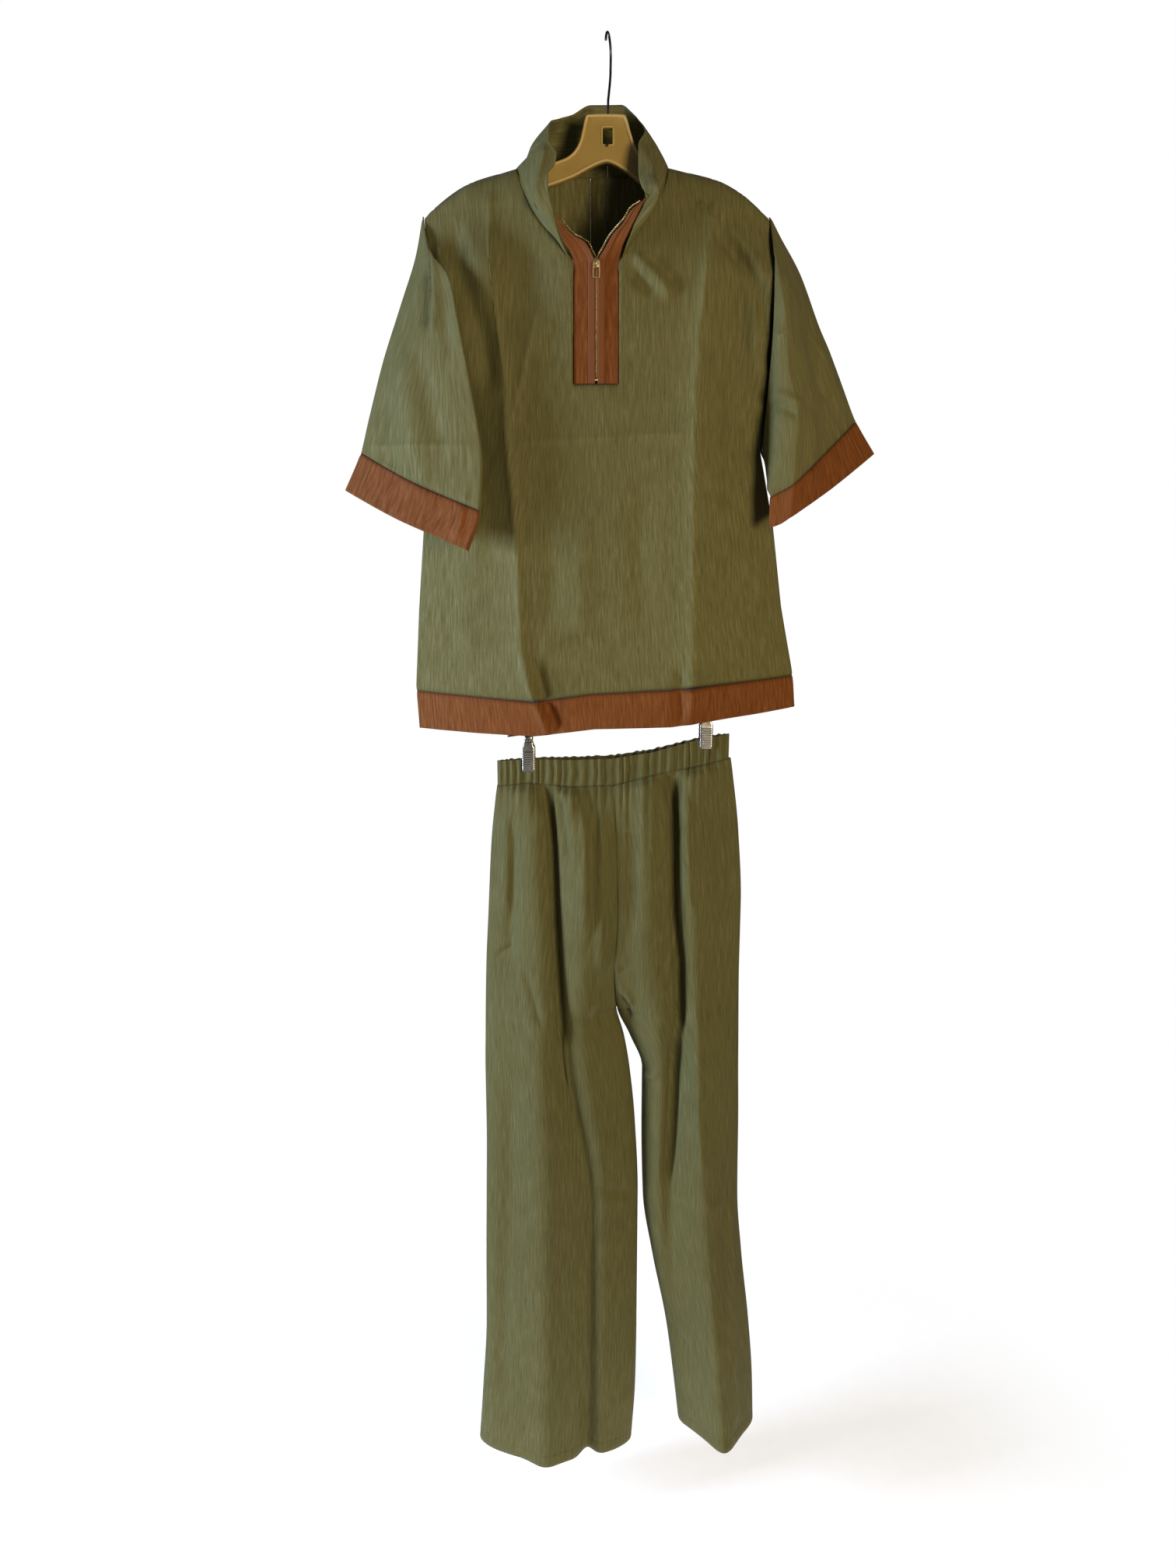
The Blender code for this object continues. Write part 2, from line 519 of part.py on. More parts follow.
def make_placket(side, open_edge, finish, collection):
    """One rust strip beside the zip: straight in the window, and turned out above the slider
    between the opened chain and the collar's front end."""
    rows = 8
    z = np.linspace(PLACKET_BOTTOM_Z, PLACKET_TOP_Z - PLACKET_BEND, rows)
    columns = 4
    if side == "right":
        inner, outer, collar_end = ZIP_X - CHAIN_HALF - 0.5, PLACKET_LOW_X + 0.3, COLLAR[0]
    else:
        inner, outer, collar_end = ZIP_X + CHAIN_HALF + 0.5, PLACKET_HIGH_X - 0.3, COLLAR[-1]
    foot = np.array([[outer, float(top_front_y(outer, PLACKET_TOP_Z)), PLACKET_TOP_Z]])
    part = np.linspace(0.0, 1.0, columns)
    x = np.broadcast_to(lerp(inner, outer, part), (rows, columns))
    high = np.broadcast_to(z[:, None], (rows, columns))
    straight = np.stack([x, top_front_y(x, high) - CHAIN_SINK, high], axis=-1)
    sign = -1.0 if side == "right" else 1.0
    turned = (sign, 1.0, 1.0)
    chain = along(open_edge, 6)[1:] + np.multiply(OFF_CHAIN, turned)
    seam = along(np.concatenate([foot, collar_end]), 6)[1:] + np.multiply(OFF_SEAM, turned)
    opened = lerp(chain[:, None, :], seam[:, None, :], part[None, :, None])
    return cloth(f"placket_{side}", np.concatenate([straight, opened]), finish, collection)


def make_chain(side, open_edge, finish, collection):
    """Half of the zip's chain: straight below the slider and along the opened edge above it."""
    sign = -1.0 if side == "right" else 1.0
    z = np.linspace(ZIP_BOTTOM_Z, PLACKET_TOP_Z - 1.2, 6)
    x = np.full(6, ZIP_X + sign * (CHAIN_HALF / 2 + 0.1))
    straight = np.stack([x, top_front_y(x, z) - CHAIN_SINK, z], axis=-1)
    path = np.concatenate([straight, along(open_edge, 7)[1:]])
    half = np.array([CHAIN_HALF / 2 - 0.05, 0.0, 0.0])
    grid = np.stack([path - half, path + half], axis=1)
    return cloth(f"zip_chain_{side}", grid, finish, collection, wall=CHAIN_THICK)


def leg_surface(table, folds, sign, front, rows, columns):
    """Half of a leg, in front or behind, as a grid from its outer fold to its inner edge.

    The section bows from the side to the inner edge. Above the crotch the inner edge is the centre
    seam, out at the full depth; below it is the inseam, back at the fold.
    """
    top, bottom = table[0, 0] - 0.3, table[-1, 0]
    z = np.concatenate([np.linspace(top, CROTCH_Z, rows // 2, endpoint=False),
                        np.linspace(CROTCH_Z, bottom, rows - rows // 2 + 1)])
    outer, inner = (np.interp(-z, -table[:, 0], table[:, i]) for i in (1, 2))
    depth = np.interp(-z, -table[:, 0], table[:, 3 if front else 4])
    part = (1.0 - np.cos(np.linspace(0.0, math.pi, columns + 1))) / 2.0
    part = 0.35 * part + 0.65 * np.linspace(0.0, 1.0, columns + 1)
    x = lerp(outer[:, None], (inner - sign * SEAM_GAP / 2)[:, None], part[None, :])
    joined = np.clip((z - CROTCH_Z) / 70.0, 0.0, 1.0)[:, None] ** 0.5
    half = np.sin(math.pi * part)[None, :] ** 0.55
    whole = np.sin(0.5 * math.pi * part)[None, :] ** 0.55
    face = -1.0 if front else 1.0
    y = face * EDGE_Y + (depth[:, None] - face * EDGE_Y) * lerp(half, whole, joined)
    for fold in folds:
        line = spline(FOLD_HEIGHTS, fold[:5], z)[:, None]
        height = np.interp(-z, (860.0, 1340.0, 1840.0), fold[6:9])[:, None]
        swell = np.exp(-((x - line) / fold[5]) ** 2) * np.sin(math.pi * part)[None, :] ** 0.5
        y = y + face * height * swell * (1.0 if front else 0.6)
    tilt = np.interp(x[0], WAIST[:, 0], WAIST[:, 2]) - SEAM_GAP - top
    faded = z[WAIST_FADE_ROW]
    fade = np.clip((z - faded) / (z[0] - faded), 0.0, 1.0)
    return np.stack([x, y, z[:, None] + tilt[None, :] * fade[:, None]], axis=-1)


def make_legs(finish, collection):
    """The four panels of the trousers, a front and a back on each side, each in three parts."""
    for side, table, folds, sign in (("right", LEG_RIGHT, FOLDS_RIGHT, 1.0),
                                     ("left", LEG_LEFT, FOLDS_LEFT, -1.0)):
        for face in ("front", "back"):
            grid = leg_surface(table, folds, sign, face == "front", LEG_ROWS, LEG_SPANS)
            for part, first, last in LEG_PARTS:
                rows = grid[first:last + 1].copy()
                if first:
                    rows[0, :, 2] -= SEAM_GAP
                cloth(f"trousers_{face}_{side}_{part}", rows, finish, collection)


def make_waistband(finish, collection):
    """The elastic waist: a flat ring whose outer face is raised in gathers."""
    count = GATHERS * 4
    turn = np.arange(count) / count
    low, high = WAIST[0, 0], WAIST[-1, 0]
    x = lerp(low, high, 0.5 - 0.5 * np.cos(2.0 * math.pi * turn))
    part = np.mod(turn * 2.0, 1.0)
    even = lerp(low, high, np.where(turn < 0.5, part, 1.0 - part))
    x = 0.25 * x + 0.75 * even
    face = np.where(turn < 0.5, -1.0, 1.0)
    half = np.interp(x, WAIST[:, 0], WAIST[:, 3])
    ends = np.clip(np.minimum(x - low, high - x) / 6.0, 0.0, 1.0)
    gather = GATHER_DEPTH * (0.5 - 0.5 * np.cos(2.0 * math.pi * GATHERS * turn))
    y = face * (half * np.sqrt(ends) + gather * ends)
    top = np.interp(x, WAIST[:, 0], WAIST[:, 1])
    bottom = np.interp(x, WAIST[:, 0], WAIST[:, 2])
    rows = []
    for part_down, swell in ((0.0, 0.35), (0.5, 1.0), (1.0, 0.5)):
        depth = face * half * np.sqrt(ends) + (y - face * half * np.sqrt(ends)) * swell
        rows.append(np.stack([x, depth, lerp(top, bottom, part_down)], axis=-1))
    return cloth("waistband", np.array(rows), finish, collection, ring=True)


def tube(name, points, diameter, finish, collection, cyclic=False, sides=2):
    """A wire: a poly spline with a round bevel and filled caps. Points in millimetres."""
    curve = bpy.data.curves.new(name, "CURVE")
    curve.dimensions = "3D"
    curve.bevel_depth = diameter * MM / 2.0
    curve.bevel_resolution = sides
    curve.use_fill_caps = True
    line = curve.splines.new("POLY")
    line.points.add(len(points) - 1)
    for point, place in zip(line.points, points):
        point.co = (*(np.asarray(place) * MM), 1.0)
    line.use_cyclic_u = cyclic
    made = bpy.data.objects.new(name, curve)
    made.data.materials.append(finish)
    collection.objects.link(made)
    return made


def plate(name, outline, thickness, finish, collection, bevel=0.0):
    """A flat outline in X and Z with half of its thickness on each side of y = 0."""
    curve = bpy.data.curves.new(name, "CURVE")
    curve.dimensions = "2D"
    curve.fill_mode = "BOTH"
    curve.extrude = thickness * MM / 2.0
    line = curve.splines.new("POLY")
    line.points.add(len(outline) - 1)
    for point, place in zip(line.points, outline):
        point.co = (place[0] * MM, place[1] * MM, 0.0, 1.0)
    line.use_cyclic_u = True
    flat = bpy.data.objects.new(name + "_outline", curve)
    collection.objects.link(flat)
    mesh = bpy.data.meshes.new_from_object(flat.evaluated_get(bpy.context.evaluated_depsgraph_get()))
    bpy.data.objects.remove(flat)
    shape = bmesh.new()
    shape.from_mesh(mesh)
    bmesh.ops.remove_doubles(shape, verts=shape.verts, dist=1e-6)
    bmesh.ops.rotate(shape, verts=shape.verts, cent=(0, 0, 0),
                     matrix=Matrix.Rotation(math.radians(90.0), 3, "X"))
    bmesh.ops.recalc_face_normals(shape, faces=shape.faces)
    shape.to_mesh(mesh)
    shape.free()
    made = add_object(name, mesh, finish, collection)
    if bevel:
        edge = made.modifiers.new("Edge", "BEVEL")
        edge.width = bevel * MM
        edge.segments = 1
        edge.limit_method = "ANGLE"
        edge.angle_limit = math.radians(60.0)
    return made


def box(name, low, high, finish, collection, bevel=0.0):
    """A block between two corners, with its edges eased."""
    low, high = np.asarray(low, float), np.asarray(high, float)
    bpy.ops.mesh.primitive_cube_add(size=1.0, location=tuple((low + high) / 2.0 * MM))
    made = bpy.context.active_object
    made.name = made.data.name = name
    made.dimensions = tuple((high - low) * MM)
    bpy.ops.object.transform_apply(location=False, rotation=False, scale=True)
    for holder in list(made.users_collection):
        holder.objects.unlink(made)
    collection.objects.link(made)
    if finish:
        made.data.materials.append(finish)
    if bevel:
        edge = made.modifiers.new("Edge", "BEVEL")
        edge.width = bevel * MM
        edge.segments = 1
    return made


def hanger_outline():
    """The hanger seen from the front: a flat-topped neck that flares into two sloping arms."""
    upper_right = [(-23, -83), (-27, -89), (-30, -100), (-33, -111), (-39, -121), (-48, -128),
                   (-62, -133), (-84, -140.5), (-107, -146.4), (-134, -154), (-160, -161.6),
                   (-186, -177.5)]
    tip_right = [(-197, -184), (-202, -192), (-202, -199), (-197, -203), (-188, -202)]
    lower_right = [(-160, -188), (-120, -174), (-90, -165), (-66, -158), (-40, -149), (-26, -142),
                   (-13, -136), (-2, -133)]
    lower_left = [(8, -136), (22, -144), (39, -156), (62, -166), (100, -177), (150, -193)]
    tip_left = [(170, -204), (179, -205), (184, -201), (184, -195)]
    upper_left = [(179, -191), (168, -182.4), (150, -169.6), (127, -158.4), (100, -151.9),
                  (70, -144.8), (57, -139.5), (44, -132), (35, -122), (29, -110), (25, -98),
                  (22, -88), (18, -83)]
    return upper_right + tip_right + lower_right + lower_left + tip_left + upper_left


def make_hanger(plastic, steel, collection, cutters):
    """The top's hanger: a moulded plate with a slot in its neck, and a turned wire hook."""
    body = plate("hanger_body", hanger_outline(), HANGER_THICK, plastic, collection, bevel=1.2)
    cutter = box("slot_cutter", (SLOT_X[0], -20.0, SLOT_Z[0]), (SLOT_X[1], 20.0, SLOT_Z[1]),
                 None, cutters)
    cutter.hide_render = True
    cutter.display_type = "WIRE"
    cut = body.modifiers.new("Slot", "BOOLEAN")
    cut.object = cutter
    cut.solver = "EXACT"
    radius = HOOK_INNER_R + HOOK_WIRE / 2.0
    toward = np.array([-math.cos(HOOK_TURN), -math.sin(HOOK_TURN), 0.0])
    bend = [toward * radius * math.sin(a) + (0.0, 0.0, -HOOK_INNER_R + radius * math.cos(a))
            for a in np.radians(np.linspace(-100.0, 72.0, 14))]
    stem = [(0.0, 0.0, NECK_TOP_Z + 0.3), (0.0, 0.0, -70.0), (0.8, 4.0, -60.0),
            (2.0, 11.0, -47.0), (2.9, 16.5, -34.0)]
    tube("hanger_hook", stem + [tuple(p) for p in bend], HOOK_WIRE, steel, collection, sides=3)


def bar_point(x):
    """A point on the clip hanger's bar, which hangs with its left end high."""
    return np.array([x, BAR_MID[1], BAR_MID[2] + (x - BAR_MID[0]) * math.tan(BAR_SLOPE)])


def make_clip_hanger(steel, nickel, collection):
    """The trousers' hanger: a drop wire out of the slot, a bar, and a spring clip on each side."""
    link_top = SLOT_Z[0] + LINK_WIRE / 2.0 + 0.6
    thick = HANGER_THICK / 2.0 + 2.0
    low = bar_point(BAR_MID[0])
    link = [(-0.5, -thick, link_top - 5.0), (-0.5, -thick, link_top + 1.0), (-0.5, -3.0, link_top),
            (-0.5, 3.0, link_top), (-0.5, thick, link_top - 1.0), (-0.5, 9.5, link_top - 12.0),
            (-0.5, 12.0, -160.0), (5.0, 6.0, -420.0), (14.0, 0.0, -700.0),
            (14.0, 0.0, low[2] + BAR_DIAMETER / 2.0 + 0.4)]
    tube("drop_link", link, LINK_WIRE, steel, collection)
    ends = [bar_point(BAR_MID[0] - BAR_HALF), bar_point(BAR_MID[0] + BAR_HALF)]
    tube("clip_bar", ends, BAR_DIAMETER, steel, collection)
    for side, x in CLIP_X.items():
        top = bar_point(x - CLIP_WIDTH / 2.0)[2] - BAR_DIAMETER / 2.0 - 0.3
        low_z, half = top - CLIP_HEIGHT, CLIP_WIDTH / 2.0
        for face, sign in (("front", -1.0), ("back", 1.0)):
            near, far = sign * CLIP_GRIP, sign * (CLIP_GRIP + CLIP_PLATE)
            box(f"clip_{face}_{side}", (x - half, min(near, far), low_z),
                (x + half, max(near, far), top - 8.0), nickel, collection, bevel=0.3)
        box(f"clip_spring_{side}", (x - half + 2.0, 0.3 - CLIP_GRIP, top - 20.0),
            (x + half - 2.0, CLIP_GRIP - 0.3, top), nickel, collection, bevel=0.6)


def make_zip_slider(brass, collection):
    """The slider on the closed chain's top, with a bail for the pull, and the bottom stop."""
    y = float(np.min(top_front_y(ZIP_X, np.array([-248.0, -259.0])))) - 0.2 - CHAIN_THICK / 2.0
    box("zip_slider", (ZIP_X - SLIDER_HALF, y - SLIDER_THICK, SLIDER_Z[0]),
        (ZIP_X + SLIDER_HALF, y, SLIDER_Z[1]), brass, collection, bevel=0.6)
    stop_y = float(top_front_y(ZIP_X, ZIP_BOTTOM_Z)) - CHAIN_SINK
    box("zip_stop", (ZIP_X - 1.7, stop_y - 1.6, ZIP_BOTTOM_Z - 3.0),
        (ZIP_X + 1.7, stop_y + 0.6, ZIP_BOTTOM_Z - 0.4), brass, collection, bevel=0.4)
    bail_y = y - SLIDER_THICK
    arch = [(ZIP_X, bail_y - 0.3 - BAIL_OUT * math.sin(a), PULL_Z + BAIL_HALF * math.cos(a))
            for a in np.linspace(0.0, math.pi, 9)]
    tube("zip_bail", arch, PULL_WIRE, brass, collection)
    return bail_y


def make_zip_pull(bail_y, brass, collection):
    """The pull tab: an open frame whose top bar lies in the bail, where it swings."""
    pivot = np.array([ZIP_X, bail_y - BAIL_OUT / 2.0, PULL_Z])
    frame = [(-PULL_HALF, 0.0, 0.0), (PULL_HALF, 0.0, 0.0), (PULL_HALF, 0.0, -PULL_LENGTH),
             (-PULL_HALF, 0.0, -PULL_LENGTH)]
    return tube("zip_pull", [pivot + p for p in np.array(frame)], PULL_WIRE, brass, collection,
                cyclic=True)


def main():
    for old in list(bpy.data.objects):
        bpy.data.objects.remove(old)
    collection = bpy.data.collections.new("coord_set")
    cutters = bpy.data.collections.new("cutters")
    bpy.context.scene.collection.children.link(collection)
    bpy.context.scene.collection.children.link(cutters)

    olive = material("olive_crepe", (0.16, 0.15, 0.06), 0.75)
    olive_leg = material("olive_trousers", (0.14, 0.14, 0.05), 0.75)
    rust = material("rust_crepe", (0.24, 0.08, 0.03), 0.75)
    plastic = material("hanger_plastic", (0.40, 0.29, 0.09), 0.4)
    steel = material("dark_steel_wire", (0.10, 0.11, 0.11), 0.35, 1.0)
    nickel = material("nickel_clip", (0.55, 0.54, 0.52), 0.3, 1.0)
    brass = material("gilt_zip", (0.70, 0.50, 0.25), 0.3, 1.0)

    front_x = make_top_front(olive, collection)
    right_x = make_top_back("top_back_right", -1.0, olive, collection)
    left_x = make_top_back("top_back_left", 1.0, olive, collection)
    back_x = np.concatenate([right_x[::-1], left_x])
    make_hem_band("hem_band_front", front_x, top_front_y, rust, collection)
    make_hem_band("hem_band_back", back_x, top_back_y, rust, collection)
    make_sleeve("right", SLEEVE_RIGHT, olive, rust, collection)
    make_sleeve("left", SLEEVE_LEFT, olive, rust, collection)
    make_collar(olive, collection)
    make_placket("right", OPEN_ZIP_RIGHT, rust, collection)
    make_placket("left", OPEN_ZIP_LEFT, rust, collection)
    make_chain("right", OPEN_ZIP_RIGHT, brass, collection)
    make_chain("left", OPEN_ZIP_LEFT, brass, collection)
    bail_y = make_zip_slider(brass, collection)
    make_zip_pull(bail_y, brass, collection)
    make_legs(olive_leg, collection)
    make_waistband(olive_leg, collection)
    make_hanger(plastic, steel, collection, cutters)
    make_clip_hanger(steel, nickel, collection)


main()
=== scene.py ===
"""Dresses the co-ord set: a half-zip crepe top on a moulded hanger, and trousers clipped below it.

Metres, +Z up, the front faces -Y, and the wearer's left is +X, as in the solids. Shapes are worked
out in millimetres on grids and become metres when a mesh is made.
"""

import logging
import math
from dataclasses import dataclass, field
from enum import Enum

import bmesh
import bpy
import numpy as np
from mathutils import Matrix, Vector

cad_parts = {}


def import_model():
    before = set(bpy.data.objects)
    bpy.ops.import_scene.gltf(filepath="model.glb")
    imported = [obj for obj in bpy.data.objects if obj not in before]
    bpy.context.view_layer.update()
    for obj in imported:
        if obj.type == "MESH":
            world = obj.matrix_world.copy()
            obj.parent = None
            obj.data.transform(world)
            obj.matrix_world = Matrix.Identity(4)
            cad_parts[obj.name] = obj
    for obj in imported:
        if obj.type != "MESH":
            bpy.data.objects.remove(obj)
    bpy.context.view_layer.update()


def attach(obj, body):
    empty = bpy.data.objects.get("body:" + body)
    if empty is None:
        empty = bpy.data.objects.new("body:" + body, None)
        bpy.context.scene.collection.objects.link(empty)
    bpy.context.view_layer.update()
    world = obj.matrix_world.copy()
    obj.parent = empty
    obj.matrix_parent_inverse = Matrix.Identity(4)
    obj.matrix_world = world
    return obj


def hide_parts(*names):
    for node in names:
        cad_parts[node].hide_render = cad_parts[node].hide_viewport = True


MM = 0.001
LOG = logging.getLogger("coord_set")
BODY = "set"
PULL_BODY = "pull"
WALL = 1.4              # thickness of the cloth with its turned seams
SEAM_GAP = 0.3
EDGE_Y = 0.65           # where two panels lie face to face in a seam; 0.25 closer than the solids
ROLL_SHARE = 0.3        # a rolled fold's width on its steep side, as a share of the other
# Painted highlight down the top of each pressed fold: its width and its tone.
HIGHLIGHT_WIDTH = 2.6        # of the paler line on a pressed fold
HIGHLIGHT_TONE = 0.14
HEM_RIGHT, HEM_LEFT = -240.0, 238.0     # where the top's sides end above the hem band

Path = tuple[tuple[float, float], ...]


class Side(Enum):
    """The wearer's sides."""

    RIGHT = "right"
    LEFT = "left"


class Face(Enum):
    """Front or back of a flat-hung piece, with the sign of its outward Y."""

    FRONT = -1.0
    BACK = 1.0


class Profile(Enum):
    """Cross-sections of a fold: a soft swell, a pressed edge, or a roll that is steep on its right."""

    SOFT = "soft"
    PRESSED = "pressed"
    ROLLED = "rolled"


@dataclass(frozen=True)
class Fold:
    """A ridge (height above zero) or trough (below zero) along a path of x and z on the piece.

    fade is the length over which it runs out at each end.
    """

    path: Path
    width: float
    height: float
    fade: float = 40.0
    profile: Profile = Profile.SOFT


def spline(knots: np.ndarray, values: np.ndarray, at: np.ndarray) -> np.ndarray:
    """Monotone cubic through the knots, which keeps a table's flat stretches flat.

    Args:
        knots: rising or falling places.
        values: one value, or one row of values, for each knot.
        at: places to work out, any shape.

    Returns:
        The values there: Hermite pieces whose slope is the harmonic mean of the two chords.
    """
    knots, values = np.asarray(knots, float), np.asarray(values, float)
    at = np.clip(np.asarray(at, float), knots.min(), knots.max())
    if knots[0] > knots[-1]:
        knots, values = knots[::-1], values[::-1]
    step = np.diff(knots)
    slope = np.diff(values, axis=0) / step.reshape((-1,) + (1,) * (values.ndim - 1))
    tangent = np.zeros_like(values)
    same_way = slope[1:] * slope[:-1] > 0
    total = np.where(same_way, slope[1:] + slope[:-1], 1.0)
    tangent[1:-1] = np.where(same_way, 2 * slope[1:] * slope[:-1] / total, 0.0)
    tangent[0], tangent[-1] = slope[0], slope[-1]
    cell = np.clip(np.searchsorted(knots, at, side="right") - 1, 0, len(step) - 1)
    width = step[cell]
    part = (at - knots[cell]) / width
    spread = part.shape + (1,) * (values.ndim - 1)
    part, width = part.reshape(spread), width.reshape(spread)
    square, cube = part * part, part * part * part
    return (values[cell] * (2 * cube - 3 * square + 1) + values[cell + 1] * (3 * square - 2 * cube)
            + tangent[cell] * width * (cube - 2 * square + part)
            + tangent[cell + 1] * width * (cube - square))


def along(path: np.ndarray, count: int) -> np.ndarray:
    """The path's points, spread evenly by length."""
    path = np.asarray(path, float)
    length = np.concatenate([[0.0], np.cumsum(np.linalg.norm(np.diff(path, axis=0), axis=1))])
    return spline(length, path, np.linspace(0.0, length[-1], count))


def lerp(a: np.ndarray | float, b: np.ndarray | float, part: np.ndarray | float) -> np.ndarray:
    """Straight mix from a to b."""
    return a + (b - a) * part


def smooth(part: np.ndarray) -> np.ndarray:
    """A soft step from 0 to 1 while part goes from 0 to 1."""
    part = np.clip(part, 0.0, 1.0)
    return part * part * (3.0 - 2.0 * part)


def signed_power(value: np.ndarray, power: float) -> np.ndarray:
    """The value's size raised to a power, with its sign kept."""
    return np.sign(value) * np.abs(value) ** power


def closed_loop(anchors: np.ndarray, spans: int, tightness: tuple[float, ...]) -> np.ndarray:
    """A closed curve through the anchors, crisp where the tightness is small and soft elsewhere.

    Args:
        anchors: the points, in order round the loop.
        spans: how many points each stretch between two anchors gives.
        tightness: a share of the usual tangent for each anchor.

    Returns:
        The loop's points, the last one short of the first: Hermite pieces between the anchors.
    """
    ahead = np.roll(anchors, -1, axis=0)
    tangent = 0.5 * (ahead - np.roll(anchors, 1, axis=0)) * np.asarray(tightness)[:, None]
    chord = np.linalg.norm(ahead - anchors, axis=1)[:, None]
    start, end = tangent, np.roll(tangent, -1, axis=0)
    start = start * np.minimum(1.0, 1.2 * chord / (np.linalg.norm(start, axis=1)[:, None] + 1e-9))
    end = end * np.minimum(1.0, 1.2 * chord / (np.linalg.norm(end, axis=1)[:, None] + 1e-9))
    part = np.linspace(0.0, 1.0, spans, endpoint=False)[None, :, None]
    square, cube = part ** 2, part ** 3
    points = (anchors[:, None] * (2 * cube - 3 * square + 1) + ahead[:, None] * (3 * square - 2 * cube)
              + start[:, None] * (cube - 2 * square + part) + end[:, None] * (cube - square))
    return points.reshape(-1, 3)


def value_noise(x: np.ndarray, y: np.ndarray, seed: int) -> np.ndarray:
    """Smooth noise between -1 and 1 with cells of unit size: random corner values, softly mixed."""
    table = np.random.default_rng(seed).uniform(-1.0, 1.0, (64, 64))
    column, row = np.floor(x).astype(int), np.floor(y).astype(int)
    across, down = smooth(x - column), smooth(y - row)
    corner = [[table[(row + j) % 64, (column + i) % 64] for i in (0, 1)] for j in (0, 1)]
    return lerp(lerp(corner[0][0], corner[0][1], across), lerp(corner[1][0], corner[1][1], across),
                down)


def crinkle(across: np.ndarray, down: np.ndarray, seed: int) -> np.ndarray:
    """Crepe's own uneven ripples in millimetres: narrow across, long down, in three sizes."""
    return (0.55 * value_noise(across / 19.0, down / 120.0, seed)
            + 0.32 * value_noise(across / 8.0, down / 62.0, seed + 1)
            + 0.16 * value_noise(across / 4.2, down / 30.0, seed + 2))


def relief(x: np.ndarray, z: np.ndarray, folds: tuple[Fold, ...]) -> np.ndarray:
    """Height of all the folds at points of a piece.

    Args:
        x: across, in millimetres.
        z: up, in millimetres.
        folds: the ridges and troughs.

    Returns:
        The sum of each fold's section at the point's distance from its path, faded at both ends.
    """
    height = np.zeros_like(x)
    for fold in folds:
        path = np.asarray(fold.path, float)
        if len(path) > 2:
            path = along(path, 3 * len(path))
        a, step = path[:-1], np.diff(path, axis=0)
        length = np.linalg.norm(step, axis=1)
        start = np.concatenate([[0.0], np.cumsum(length)[:-1]])
        best = np.full(x.shape, 1e9)
        place = np.zeros(x.shape)
        right = np.zeros(x.shape, bool)
        for i in range(len(step)):
            part = ((x - a[i, 0]) * step[i, 0] + (z - a[i, 1]) * step[i, 1]) / (length[i] ** 2)
            part = np.clip(part, 0.0, 1.0)
            gap = np.hypot(x - a[i, 0] - part * step[i, 0], z - a[i, 1] - part * step[i, 1])
            nearer = gap < best
            cross = step[i, 0] * (z - a[i, 1]) - step[i, 1] * (x - a[i, 0])
            right = np.where(nearer, cross > 0.0, right)
            best = np.where(nearer, gap, best)
            place = np.where(nearer, start[i] + part * length[i], place)
        total = float(length.sum())
        ends = smooth(place / fold.fade) * smooth((total - place) / fold.fade)
        if fold.profile is Profile.SOFT:
            section = np.exp(-(best / fold.width) ** 2)
        elif fold.profile is Profile.ROLLED:
            section = np.exp(-(best / np.where(right, ROLL_SHARE * fold.width, fold.width)) ** 2)
        else:
            section = np.exp(-best / fold.width)
        height += fold.height * section * ends
    return height


def crease_highlight_lines(x: np.ndarray, z: np.ndarray, folds: tuple[Fold, ...],
               share: np.ndarray | float = 1.0) -> np.ndarray:
    """Painted highlight: paler narrow lines on the tops of the pressed folds, times a share at each
    point.
    """
    lines = tuple(Fold(f.path, HIGHLIGHT_WIDTH, 1.0, f.fade, Profile.PRESSED)
                  for f in folds if f.profile is Profile.PRESSED)
    return HIGHLIGHT_TONE * np.clip(relief(x, z, lines) * share, 0.0, 1.0)


def normals_of(points: np.ndarray, ring: bool = False) -> np.ndarray:
    """Unit normals of a grid of points: the cross product of its two slopes.

    Args:
        points: shape (rows, columns, 3).
        ring: whether the last column meets the first.

    Returns:
        Unit vectors of the same shape.
    """
    if ring:
        across = np.roll(points, -1, axis=1) - np.roll(points, 1, axis=1)
    else:
        across = np.gradient(points, axis=1)
    down = np.gradient(points, axis=0)
    normal = np.cross(across, down)
    return normal / (np.linalg.norm(normal, axis=-1, keepdims=True) + 1e-9)


def path_length(points: np.ndarray, axis: int) -> np.ndarray:
    """Running length in millimetres along one axis of a grid of points."""
    step = np.linalg.norm(np.diff(points, axis=axis), axis=-1)
    start = np.zeros_like(step.take([0], axis=axis))
    return np.concatenate([start, np.cumsum(step, axis=axis)], axis=axis)


def stations(points: np.ndarray, places: np.ndarray) -> tuple[np.ndarray, np.ndarray]:
    """Points of a line at running lengths, and unit directions from 0.5 mm before to 0.5 after."""
    length = path_length(points, 0)
    centre, later, earlier = (
        np.stack([np.interp(places + shift, length, points[:, i]) for i in range(3)], axis=-1)
        for shift in (0.0, 0.5, -0.5))
    tangent = later - earlier
    return centre, tangent / (np.linalg.norm(tangent, axis=1, keepdims=True) + 1e-9)


def repeated(faces: list, corners: int, count: int) -> list:
    """The same faces for each of many alike pieces that have that many corners each."""
    return [tuple(corner + corners * i for corner in face) for i in range(count) for face in faces]


def grid_area(points: np.ndarray, ring: bool = False) -> float:
    """Area of a grid of points in square metres, from points in millimetres."""
    if ring:
        points = np.concatenate([points, points[:, :1]], axis=1)
    a, b = points[:-1, :-1], points[1:, 1:]
    c, d = points[:-1, 1:], points[1:, :-1]
    return float(np.linalg.norm(np.cross(b - a, d - c), axis=-1).sum() / 2.0) * MM * MM


def linear(colour: str) -> tuple[float, float, float, float]:
    """An sRGB hex colour as linear red, green, blue and alpha."""
    parts = (int(colour[i:i + 2], 16) / 255.0 for i in (1, 3, 5))
    return (*(p / 12.92 if p <= 0.04045 else ((p + 0.055) / 1.055) ** 2.4 for p in parts), 1.0)


